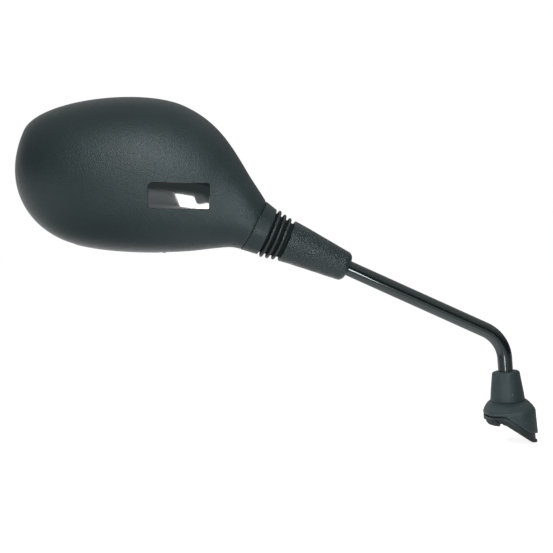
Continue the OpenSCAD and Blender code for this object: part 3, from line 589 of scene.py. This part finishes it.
# Bracket and plate screws: zinc-plated self-tapping screws, three pan-headed ones that hold the socket's
# bracket and four flat ones under the foam. Each is a head with a cross recess on a threaded shank,
# placed on its point in the shell.
screw, given, result = new_tree("self_tapping_screw", head=3.2, head_height=2.1, head_taper=0.8, recess=0.8,
                                shank=1.6, tip=0.6, length=8.5, pitch=1.25, thread_tip=0.7, ridge=0.15)
top_radius = add_node(screw, "ShaderNodeMath", {"operation": "MULTIPLY"},
                      links={0: given.outputs["head"], 1: given.outputs["head_taper"]})
head_cone = add_node(screw, "GeometryNodeMeshCone", values={"Vertices": 32},
                     links={"Radius Top": top_radius.outputs[0], "Radius Bottom": given.outputs["head"],
                            "Depth": given.outputs["head_height"]})
slot_size = add_node(screw, "ShaderNodeCombineXYZ", links={
    "X": given.outputs["head"], "Y": given.outputs["recess"], "Z": given.outputs["head_height"]})
slot_lift = add_node(screw, "ShaderNodeCombineXYZ", links={"Z": given.outputs["head_height"]})
slots = []
for turn in (0, 90):
    bar = add_node(screw, "GeometryNodeMeshCube", links={"Size": slot_size.outputs["Vector"]})
    slots.append(add_node(
        screw, "GeometryNodeTransform", values={"Rotation": (0, 0, math.radians(turn))},
        links={"Geometry": bar.outputs["Mesh"], "Translation": slot_lift.outputs["Vector"]}))
recessed = add_node(screw, "GeometryNodeMeshBoolean", {"operation": "DIFFERENCE", "solver": "EXACT"},
                    links={"Mesh 1": head_cone.outputs["Mesh"], "Mesh 2": slots[0].outputs["Geometry"]})
screw.links.new(slots[1].outputs["Geometry"], recessed.inputs["Mesh 2"])
shank_cone = add_node(screw, "GeometryNodeMeshCone", values={"Vertices": 24},
                      links={"Radius Top": given.outputs["tip"], "Radius Bottom": given.outputs["shank"],
                             "Depth": given.outputs["length"]})
thread_turns = add_node(screw, "ShaderNodeMath", {"operation": "DIVIDE"},
                        links={0: given.outputs["length"], 1: given.outputs["pitch"]})
helix = add_node(screw, "GeometryNodeCurveSpiral", values={"Resolution": 20},
                 links={"Rotations": thread_turns.outputs[0], "Start Radius": given.outputs["shank"],
                        "End Radius": given.outputs["thread_tip"], "Height": given.outputs["length"]})
ridge = add_node(screw, "GeometryNodeCurvePrimitiveCircle", values={"Resolution": 6},
                 links={"Radius": given.outputs["ridge"]})
thread = add_node(screw, "GeometryNodeCurveToMesh", values={"Fill Caps": True},
                  links={"Curve": helix.outputs["Curve"], "Profile Curve": ridge.outputs["Curve"]})
tapered = add_node(screw, "GeometryNodeJoinGeometry", links={"Geometry": shank_cone.outputs["Mesh"]})
screw.links.new(thread.outputs["Mesh"], tapered.inputs["Geometry"])
driven = add_node(screw, "GeometryNodeTransform", values={"Rotation": (math.pi, 0, 0)},
                  links={"Geometry": tapered.outputs["Geometry"]})
whole = add_node(screw, "GeometryNodeJoinGeometry", links={"Geometry": recessed.outputs["Mesh"]})
screw.links.new(driven.outputs["Geometry"], whole.inputs["Geometry"])
upright = add_node(screw, "GeometryNodeTransform", values={"Rotation": (-math.pi / 2, 0, 0)},
                   links={"Geometry": whole.outputs["Geometry"]})
placed = add_node(screw, "GeometryNodeInstanceOnPoints",
                  links={"Points": given.outputs["Places"], "Instance": upright.outputs["Geometry"]})
real = add_node(screw, "GeometryNodeRealizeInstances", links={"Geometry": placed.outputs["Instances"]})
plated = add_node(screw, "GeometryNodeSetMaterial", values={"Material": zinc},
                  links={"Geometry": real.outputs["Geometry"]})
screw.links.new(plated.outputs["Geometry"], result.inputs["Mesh"])

# The faces that the screws hold down, with their holes as (up, along the neck)
bracket_face, bracket_holes = -10.15, ((-10, 52), (10, 52), (0, 70))
plate_face, plate_holes = 8.25, ((38, 92), (-30, 84), (14, 158), (-40, 146))
flat_head = {"head": 3.0, "head_height": 0.9, "length": 10.0}
for name, node, face, holes, sizes in (
        ("bracket_screws", "socket_screws", bracket_face, bracket_holes, {}),
        ("plate_flat_screws", "plate_screws", plate_face, plate_holes, flat_head)):
    piece = grown(name, screw, [(up, face, along) for up, along in holes], sizes, zinc)
    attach(piece, "head_group")
    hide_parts(node)


# Shell: one black ABS moulding, deep and round at the back, with a 5 mm lip round the glass and a neck
# that the boot's collar covers. It is lofted along the neck between two outline curves, hollowed and
# opened at the front, and a small window is sunk 0.45 mm into its back.
neck_end, neck_edge, shell_wall, core_neck = 17.2, 0.4, 2.5, 13.7
# Chains of cubic curves: the knots, and for each curve its four points as (along the neck, up) or a depth
tip, crown, flare, chin = (183.9, -4.8), (92.9, 54.6), (44, -30.6), (131, -61.6)
upper_outline = ([0, 1, 2], [[(neck_end, collar_radius), (44.7, 36.3), (60, crown[1]), crown],
                             [crown, (123.7, crown[1]), (tip[0], 17.6), tip]])
lower_outline = ([0, 0.4, 1, 2], [[(neck_end, -collar_radius), (25.2, -18.6), (36.5, -26), flare],
                                  [flare, (58, -39.2), (105, chin[1]), chin],
                                  [chin, (160, chin[1]), (tip[0], -41), tip]])
back_depth = ([0, 1, 2], [[collar_radius, 24.3, 37, 37], [37, 37, 30, 0]])
waist_y, rim_y, full_from, joint_fade = 7, 15, 0.55, 18
# Exponents of the ovals across the shell, 2 for an ellipse, and how fast the front closes at the tip
neck_power, back_power, front_power, tip_closing = 2, 2.2, 5, 9


def curve_at(curve, t):
    """Point and slope of a chain of cubic curves at t."""
    knots, pieces = curve
    i = min(sum(t >= k for k in knots[1:]), len(pieces) - 1)
    s = (t - knots[i]) / (knots[i + 1] - knots[i])
    p = np.array(pieces[i], float)
    u = 1 - s
    point = u ** 3 * p[0] + 3 * u * u * s * p[1] + 3 * u * s * s * p[2] + s ** 3 * p[3]
    return point, 3 * u * u * (p[1] - p[0]) + 6 * u * s * (p[2] - p[1]) + 3 * s * s * (p[3] - p[2])


def rail(t, inset, side):
    """Point of an outline as (along the neck, up), moved in by inset; side is 1 above and -1 below."""
    point, slope_there = curve_at(upper_outline if side > 0 else lower_outline, t)
    d = slope_there / np.linalg.norm(slope_there)
    return point + inset * side * np.array([d[1], -d[0]])


def leaned(ring):
    """A ring moved along the neck as the leaning joint needs, which fades out into the shell."""
    share = 1 - smooth((ring[:, 2] - neck_end) / joint_fade)
    ring[:, 2] += joint_shift(ring[:, 0], share)
    return ring


def head_ring(t, inset, sides):
    """Ring of the head at station t: an oval back, and a front that turns flat behind the lip."""
    above, below = rail(t, inset, 1), rail(t, inset, -1)
    middle, half = (above + below) / 2, (above - below) / 2
    g = smooth(t / full_from)
    waist = waist_y * g
    shut = min(1, (2 - t) * tip_closing)
    back = curve_at(back_depth, t)[0] - inset
    front = (mix(collar_radius, rim_y - waist_y, g) - inset) * (1 - (1 - shut) ** 3)
    c, s = np.cos(full_turn(sides)), np.sin(full_turn(sides))
    bulge, flat = 2 / mix(neck_power, back_power, g), 2 / mix(neck_power, front_power, g)
    u = np.where(s > 0, signed_power(c, bulge), signed_power(c, flat))
    y = np.where(s > 0, waist - back * s, waist - front * signed_power(s, flat))
    return leaned(np.stack([middle[1] + half[1] * u, y, middle[0] + half[0] * u], axis=1))


def neck_ring(radius, z, sides):
    """Round ring of the neck, which runs the same way as the head's rings."""
    turn = full_turn(sides)
    return np.stack([radius * np.cos(turn), -radius * np.sin(turn), np.full(sides, float(z))], axis=1)


def carve(body, cutter):
    """Cuts one mesh object from another for good, and removes the cutter."""
    cut = body.modifiers.new("cut", "BOOLEAN")
    cut.operation, cut.object, cut.solver, cut.material_mode = "DIFFERENCE", cutter, "EXACT", "TRANSFER"
    bpy.context.view_layer.update()
    carved = bpy.data.meshes.new_from_object(body.evaluated_get(bpy.context.evaluated_depsgraph_get()))
    body.modifiers.clear()
    body.data = carved
    bpy.data.objects.remove(cutter)


glass_corner, glass_from, corner_before = 18, 0.38, 1.2
rail_points, corner_points, halvings = 160, 24, 40


def glass_outline(inset, count):
    """The head's outline moved in, as (up, along the neck), with a straight neck side and round corners."""
    first, last = rail(glass_from, inset, 1), rail(glass_from, inset, -1)
    across = (last - first) / np.linalg.norm(last - first)
    inward = np.array([-across[1], across[0]])
    inward = inward * np.sign(inward[0])
    # Halving finds the station where each corner's arc touches the outline
    stops = {}
    for side in (1, -1):
        low, high = glass_from, corner_before
        for _ in range(halvings):
            t = (low + high) / 2
            if np.dot(rail(t, inset + glass_corner, side) - first, inward) < glass_corner:
                low = t
            else:
                high = t
        stops[side] = t
    points = [rail(t, inset, 1) for t in np.linspace(stops[1], 2, rail_points)]
    points += [rail(t, inset, -1) for t in np.linspace(2, stops[-1], rail_points)[1:]]
    for side in (-1, 1):
        centre = rail(stops[side], inset + glass_corner, side)
        on_rail, on_edge = rail(stops[side], inset, side) - centre, -inward * glass_corner
        a0, a1 = math.atan2(on_rail[1], on_rail[0]), math.atan2(on_edge[1], on_edge[0])
        if side > 0:
            a0, a1 = a1, a0
        turn = (a1 - a0 + math.pi) % (2 * math.pi) - math.pi
        shares = np.linspace(0, 1, corner_points)
        shares = shares[:-1] if side > 0 else shares[1:]
        points += [centre + glass_corner * np.array([math.cos(a0 + turn * f), math.sin(a0 + turn * f)])
                   for f in shares]
    line = np.array(points + [points[0]])
    length = np.concatenate([[0], np.cumsum(np.linalg.norm(np.diff(line, axis=0), axis=1))])
    even = np.linspace(0, length[-1], count + 1)[:-1]
    return np.stack([np.interp(even, length, line[:, 1]), np.interp(even, length, line[:, 0])], axis=1)


def outline_ring(inset, y, count):
    """Ring along the lip's outline at a depth."""
    p = glass_outline(inset, count)
    return np.stack([p[:, 0], np.full(count, y), p[:, 1]], axis=1)


# A moulding gate's stub under the lower edge, and the parting line's small step beyond it
stub_at, stub_width, stub_height = 64.7, 1.1, 0.9
step_from, step_to, step_height, step_fade, mark_turn = 66, 122, 0.3, 1.5, 0.06


def with_parting_marks(ring):
    """A ring with the marks that the mould leaves on the lowest line of the shell."""
    lowest = int(np.argmin(ring[:, 0]))
    turn = np.abs(np.arange(len(ring)) - lowest) * 2 * math.pi / len(ring)
    near = np.exp(-(turn / mark_turn) ** 2)
    along = ring[lowest, 2]
    stub = stub_height * math.exp(-((along - stub_at) / stub_width) ** 2)
    step = float(smooth((along - step_from) / step_fade) * smooth((step_to - along) / step_fade))
    ring[:, 0] -= near * (stub + step_height * step)
    return ring


# Stations of the shell's rings lie closer round the gate's stub and towards the tip
shell_sides, core_sides, edge_sides = 192, 96, 360
stations = np.concatenate([[0.012], np.linspace(0.03, 1.9, 120), np.linspace(0.545, 0.575, 7),
                           [1.92, 1.94, 1.96, 1.975, 1.985, 1.993]])
neck_start, core_start = collar_from + 2, collar_from + 1
shell_rings = [neck_ring(neck_radius, neck_start, shell_sides)]
shell_rings += [leaned(neck_ring(r, neck_end, shell_sides)) for r in (neck_radius, collar_radius - neck_edge)]
shell_rings += [with_parting_marks(head_ring(t, 0, shell_sides)) for t in sorted(stations)]
shell = loft("shell_moulding", shell_rings)
shell_tree = BVHTree.FromPolygons([v.co.copy() for v in shell.data.vertices],
                                  [tuple(p.vertices) for p in shell.data.polygons])
core_rings = [neck_ring(core_neck, z, core_sides) for z in (core_start, neck_end)]
core_rings += [head_ring(t, shell_wall, core_sides) for t in np.linspace(0.05, 1.93, 60)]
carve(shell, loft("shell_core", core_rings))
lip, lip_round = 5, 0.7
lip_line = [(lip, 0), (lip, rim_y - lip_round)]
lip_line += [(lip - lip_round * (1 - math.cos(a)), rim_y - lip_round * (1 - math.sin(a)))
             for a in np.radians((22, 45, 68, 90))]
lip_line += [(lip - lip_round, rim_y + 1)]
carve(shell, loft("shell_opening", [outline_ring(inset, y, edge_sides) for inset, y in lip_line]))

# Moulded ABS: spark erosion gave its mould a fine grain of about 1 mm, which breaks the lamps' light
# into a soft, speckled glow, and handling leaves slow changes of tone
abs_grain, tree, shader, spot = new_material("grained_black_abs", IOR=1.45, Specular_Tint=cool_sheen)
grain = add_node(tree, "ShaderNodeTexNoise", values={"Scale": 1150, "Detail": 2}, links={"Vector": spot})
handling = add_node(tree, "ShaderNodeTexNoise", values={"Scale": 40, "Detail": 3}, links={"Vector": spot})
tint = add_node(tree, "ShaderNodeMix", {"data_type": "RGBA"},
                {6: linear("#172324"), 7: linear("#1e2b2c")}, {0: handling.outputs["Fac"]})
rough = add_node(tree, "ShaderNodeMapRange", values={**noise_span, "To Min": 0.32, "To Max": 0.5},
                 links={"Value": grain.outputs["Fac"]})
relief = add_node(tree, "ShaderNodeBump", values={"Strength": 1.0, "Distance": 0.0003},
                  links={"Height": grain.outputs["Fac"]})
feed(tree, shader, Base_Color=tint.outputs[2], Roughness=rough.outputs["Result"],
     Normal=relief.outputs["Normal"])
shell.data.materials.clear()
shell.data.materials.append(abs_grain)

# The window's bottom is polished in the mould: the same ABS without its grain, with faint polishing waves
abs_gloss, tree, shader, spot = new_material("polished_black_abs", Base_Color=linear("#161f20"), IOR=1.72)
waves = add_node(tree, "ShaderNodeTexNoise", values={"Scale": 120, "Detail": 1}, links={"Vector": spot})
rough = add_node(tree, "ShaderNodeMapRange", values={**noise_span, "To Min": 0.04, "To Max": 0.08},
                 links={"Value": waves.outputs["Fac"]})
feed(tree, shader, Roughness=rough.outputs["Result"])

window_corners = np.array([(94.2, -2.8), (57.4, 13.2), (50.4, -2.4), (87.4, -18.4)])
window_rounds = (2.2, 0.6, 0.5, 2.2)
window_depth, window_bevel, cutter_height, cutter_lap, ray_start = 0.45, 0.6, 1.2, 0.02, -80


def window_border(grow):
    """The window's rounded outline as (along the neck, up), made a little larger by grow, and its middle."""
    middle = window_corners.mean(axis=0)
    line = []
    for i, r in enumerate(window_rounds):
        here, before, after = window_corners[i], window_corners[i - 1], window_corners[(i + 1) % 4]
        to_before = (before - here) / np.linalg.norm(before - here)
        to_after = (after - here) / np.linalg.norm(after - here)
        start, end = here + to_before * r, here + to_after * r
        line += [(1 - f) ** 2 * start + 2 * f * (1 - f) * here + f * f * end for f in np.linspace(0, 1, 7)]
        next_start = after - to_after * window_rounds[(i + 1) % 4]
        line += [mix(end, next_start, f) for f in np.linspace(0, 1, 26)[1:-1]]
    line = np.array(line)
    away = (line - middle) / np.linalg.norm(line - middle, axis=1)[:, None]
    return line + away * grow, middle


def window_ring(share, grow, sink):
    """Ring of the window's cutter that follows the shell's back, sunk in by sink."""
    line, middle = window_border(grow)
    ring = []
    for along, up in middle + (line - middle) * share:
        hit, normal, _, _ = shell_tree.ray_cast(Vector((up, ray_start, along)), Vector((0, 1, 0)))
        ring.append(hit - normal * sink)
    return np.array(ring)


shares = np.linspace(1, 0.04, 14)
window_rings = [window_ring(f, 2 * window_bevel, -cutter_height) for f in shares[::-1]]
window_rings += [window_ring(1, window_bevel, -cutter_lap)]
window_rings += [window_ring(f, 0, window_depth) for f in shares]
window_cutter = loft("window_cutter", window_rings)
window_cutter.data.materials.append(abs_gloss)
carve(shell, window_cutter)
finish_piece(shell, at_neck, None, sharp=30)
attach(shell, "head_group")
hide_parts("housing")


# Mirror: a convex glass on white foam tape and a black plate, screwed into the shell behind the lip.
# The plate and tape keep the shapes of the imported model. The glass is silvered, with a ground edge.

# Moulded polypropylene: satin, with slow flow marks of 15 mm
plate_plastic, tree, shader, spot = new_material("black_polypropylene", IOR=1.49, Roughness=0.5)
flow = add_node(tree, "ShaderNodeTexNoise", values={"Scale": 60, "Detail": 2}, links={"Vector": spot})
tint = add_node(tree, "ShaderNodeMix", {"data_type": "RGBA"},
                {6: linear("#1a1f20"), 7: linear("#22282a")}, {0: flow.outputs["Fac"]})
feed(tree, shader, Base_Color=tint.outputs[2])
dress(plate_plastic, "backing_plate")

# Foam tape: dull and white, with cells of 0.7 mm
foam, tree, shader, spot = new_material("white_foam_tape", Base_Color=linear("#e4e4de"), IOR=1.45,
                                        Roughness=0.9)
cells = add_node(tree, "ShaderNodeTexVoronoi", values={"Scale": 1500}, links={"Vector": spot})
relief = add_node(tree, "ShaderNodeBump", values={"Strength": 0.5, "Distance": 0.0002},
                  links={"Height": cells.outputs["Distance"]})
feed(tree, shader, Normal=relief.outputs["Normal"])
dress(foam, "adhesive_pad")

# The face is part of a sphere round the middle line, and lies at glass_y where it is glass_reach from it
glass_middle, glass_sides = np.array([-4, 116]), 240
glass_y, glass_reach, sphere_radius = 12.7, 70, 1200
glass_inset, glass_thick, face_inset = 5.8, 3, 6.3
# The ground edge from the face to the back, as (inset, lift)
glass_edge = ((5.95, -0.15), (glass_inset, -0.5), (glass_inset, -2.6), (6.1, -glass_thick))


def bowl_ring(share, inset, lift):
    """Ring on the glass's convex face, with share running from its middle to its edge."""
    out = (glass_outline(inset, glass_sides) - glass_middle) * share
    y = glass_y + (glass_reach ** 2 - (out ** 2).sum(axis=1)) / (2 * sphere_radius) + lift
    return np.stack([glass_middle[0] + out[:, 0], y, glass_middle[1] + out[:, 1]], axis=1)


glass_rings = [bowl_ring(s, face_inset, 0) for s in (0.01, 0.2, 0.4, 0.6, 0.8, 1)]
glass_rings += [bowl_ring(1, inset, lift) for inset, lift in glass_edge]
glass_rings += [bowl_ring(s, face_inset, -glass_thick) for s in (0.8, 0.4, 0.01)]
glass = loft("mirror_glass_plate", glass_rings[::-1])

# Silvered glass: a sharp mirror under a clear coat, with a faint haze in patches of 30 mm
silver, tree, shader, spot = new_material("silvered_glass", Base_Color=linear("#d9e0e2"), Metallic=1.0,
                                          Coat_Weight=1.0, Coat_Roughness=0.01)
haze = add_node(tree, "ShaderNodeTexNoise", values={"Scale": 30, "Detail": 4}, links={"Vector": spot})
rough = add_node(tree, "ShaderNodeMapRange",
                 values={"From Min": 0.35, "From Max": 0.75, "To Min": 0.012, "To Max": 0.035},
                 links={"Value": haze.outputs["Fac"]})
feed(tree, shader, Roughness=rough.outputs["Result"])
# The bevel stays a sharp facet all round, also on the corners, where it turns least
finish_piece(glass, at_neck, silver, sharp=12)
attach(glass, "head_group")
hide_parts("mirror_glass")


# Studio: a pale floor under the foot, a white surround behind and above it, and a dark room in front. A
# broad softbox hangs up front, a small lamp stands low and near, and a narrow spot on the left lights the
# foot. The camera stands where the photograph was taken from, and is turned with it.
floor_half, floor_thick, floor_gap = 4000, 20, 0.0005
ground = cad_box[0][2] - floor_gap
floor_corners = [(-floor_half, -floor_half), (floor_half, -floor_half), (floor_half, floor_half),
                 (-floor_half, floor_half)]
floor = loft("studio_floor", [np.array([(x, y, z) for x, y in floor_corners]) for z in (-floor_thick, 0)])

# Backdrop paper: matte, and near white to the camera, but it keeps the object's shadow
paper, tree, shader, spot = new_material("matte_backdrop_paper", Base_Color=linear("#f2f2f2"),
                                         Roughness=0.9, Emission_Color=(1, 1, 1, 1))
rays = add_node(tree, "ShaderNodeLightPath")
seen = add_node(tree, "ShaderNodeMath", {"operation": "MAXIMUM"},
                links={0: rays.outputs["Is Camera Ray"], 1: rays.outputs["Is Transmission Ray"]})
direct = add_node(tree, "ShaderNodeMath", {"operation": "MULTIPLY"}, {1: 0.86}, {0: seen.outputs[0]})
# In reflections the paper glows with painted light round the foot, on the left and behind,
# and falls off into the dark room
foot_pool = (-0.09, -0.04, ground)
reach = add_node(tree, "ShaderNodeVectorMath", {"operation": "DISTANCE"}, {1: foot_pool}, {0: spot})
near_foot = add_node(tree, "ShaderNodeMapRange", values={"From Min": 0.16, "From Max": 0.07},
                     links={"Value": reach.outputs["Value"]})
place = add_node(tree, "ShaderNodeSeparateXYZ", links={0: spot})
far_left = add_node(tree, "ShaderNodeMapRange", values={"From Min": -0.38, "From Max": -0.6},
                    links={"Value": place.outputs["X"]})
behind = add_node(tree, "ShaderNodeMapRange", values={"From Min": 0.03, "From Max": 0.2},
                  links={"Value": place.outputs["Y"]})
right_fall = add_node(tree, "ShaderNodeMapRange", values={"From Min": 0.5, "From Max": 0.1, "To Min": 0.35},
                      links={"Value": place.outputs["X"]})
back_lit = add_node(tree, "ShaderNodeMath", {"operation": "MULTIPLY"},
                    links={0: behind.outputs["Result"], 1: right_fall.outputs["Result"]})
sides = add_node(tree, "ShaderNodeMath", {"operation": "MAXIMUM"},
                 links={0: near_foot.outputs["Result"], 1: far_left.outputs["Result"]})
lit = add_node(tree, "ShaderNodeMath", {"operation": "MAXIMUM"},
               links={0: sides.outputs[0], 1: back_lit.outputs[0]})
room = add_node(tree, "ShaderNodeMath", {"operation": "ADD"}, {1: 0.08}, {0: lit.outputs[0]})
mirrored = add_node(tree, "ShaderNodeMath", {"operation": "MULTIPLY"},
                    links={0: rays.outputs["Is Glossy Ray"], 1: room.outputs[0]})
glow = add_node(tree, "ShaderNodeMath", {"operation": "MAXIMUM"},
                links={0: direct.outputs[0], 1: mirrored.outputs[0]})
feed(tree, shader, Emission_Strength=glow.outputs[0])
finish_piece(floor, Matrix.Translation((0, 0, ground)), paper)

# Surround: white to the camera. In reflections it is light behind, less so on the right, and overhead.
surround_light = 0.68
world = bpy.data.worlds.new("studio_surround")
bpy.context.scene.world = world
world.use_nodes = True
tree = world.node_tree
tree.nodes.clear()
rays = add_node(tree, "ShaderNodeLightPath")
direction = add_node(tree, "ShaderNodeSeparateXYZ",
                     links={0: add_node(tree, "ShaderNodeTexCoord").outputs["Generated"]})
behind = add_node(tree, "ShaderNodeMapRange",
                  values={"From Min": -0.1, "From Max": 0.7, "To Max": surround_light},
                  links={"Value": direction.outputs["Y"]})
overhead = add_node(tree, "ShaderNodeMapRange",
                    values={"From Min": 0.2, "From Max": 0.6, "To Max": surround_light},
                    links={"Value": direction.outputs["Z"]})
side = add_node(tree, "ShaderNodeMapRange", values={"From Min": 0.55, "From Max": -0.35, "To Min": 0.25},
                links={"Value": direction.outputs["X"]})
shaded = add_node(tree, "ShaderNodeMath", {"operation": "MULTIPLY"},
                  links={0: behind.outputs["Result"], 1: side.outputs["Result"]})
bright = add_node(tree, "ShaderNodeMath", {"operation": "MAXIMUM"},
                  links={0: shaded.outputs[0], 1: overhead.outputs["Result"]})
room = add_node(tree, "ShaderNodeMath", {"operation": "ADD"}, {1: 0.06}, {0: bright.outputs[0]})
mirrored = add_node(tree, "ShaderNodeMath", {"operation": "MULTIPLY"},
                    links={0: rays.outputs["Is Glossy Ray"], 1: room.outputs[0]})
seen = add_node(tree, "ShaderNodeMath", {"operation": "MAXIMUM"},
                links={0: rays.outputs["Is Camera Ray"], 1: rays.outputs["Is Transmission Ray"]})
shown = add_node(tree, "ShaderNodeMath", {"operation": "MAXIMUM"},
                 links={0: seen.outputs[0], 1: mirrored.outputs[0]})
soft = add_node(tree, "ShaderNodeMath", {"operation": "MULTIPLY"}, {1: 0.12},
                {0: rays.outputs["Is Diffuse Ray"]})
strength = add_node(tree, "ShaderNodeMath", {"operation": "MAXIMUM"},
                    links={0: shown.outputs[0], 1: soft.outputs[0]})
surround = add_node(tree, "ShaderNodeBackground", values={"Color": (1, 1, 1, 1)},
                    links={"Strength": strength.outputs[0]})
add_node(tree, "ShaderNodeOutputWorld", links={"Surface": surround.outputs[0]})


def add_lamp(name, size, power, place, aim, beam=180):
    """A rectangular lamp aimed at a point, whose grid keeps its light within a beam in degrees."""
    light = bpy.data.lights.new(name, "AREA")
    light.shape, light.size, light.size_y, light.energy = "RECTANGLE", size[0], size[1], power
    light.spread = math.radians(beam)
    lamp = bpy.data.objects.new(name, light)
    lamp.location = place
    lamp.rotation_euler = (Vector(aim) - Vector(place)).to_track_quat("-Z", "Y").to_euler()
    bpy.context.scene.collection.objects.link(lamp)


def away_from(point, azimuth, elevation, distance):
    """A place at a distance from a point, with the azimuth from the front towards +X, in degrees."""
    a, e = math.radians(azimuth), math.radians(elevation)
    return point + distance * Vector((math.sin(a) * math.cos(e), -math.cos(a) * math.cos(e), math.sin(e)))


# Lamps: sizes and distances in metres, powers in watts
head_middle, window_middle = Vector((-0.235, -0.028, 0.2)), Vector((-0.208, -0.025, 0.164))
foot_middle = Vector((0, 0, 0.02))
add_lamp("front_softbox", (0.36, 0.26), 5.6, away_from(head_middle, 12, 19, 0.9), head_middle)
add_lamp("low_lamp", (0.056, 0.105), 0.38, away_from(window_middle, 17, -20, 0.41), window_middle)
add_lamp("left_spot", (0.08, 0.08), 0.034, away_from(foot_middle, -66, 46, 0.6), foot_middle, 22)

# Camera: where it looks from, in degrees and metres, and its focal length and frame in millimetres
target = Vector((-0.15334, 0, 0.10954))
azimuth, elevation, roll, distance, focal_length, frame_width = -5, 3.5, 4.5, 1.1, 105.3, 36
place = away_from(target, azimuth, elevation, distance)
back = (place - target).normalized()
right = Vector((math.cos(math.radians(azimuth)), math.sin(math.radians(azimuth)), 0))
up = back.cross(right)
cos_roll, sin_roll = math.cos(math.radians(roll)), math.sin(math.radians(roll))
lens = bpy.data.cameras.new("photo_camera")
lens.lens, lens.sensor_width, lens.sensor_fit = focal_length, frame_width, "HORIZONTAL"
camera = bpy.data.objects.new("photo_camera", lens)
camera.matrix_world = Matrix.Translation(place) @ Matrix(
    (right * cos_roll - up * sin_roll, right * sin_roll + up * cos_roll, back)).transposed().to_4x4()
bpy.context.scene.collection.objects.link(camera)
bpy.context.scene.camera = camera
bpy.context.scene.view_settings.view_transform = "Standard"
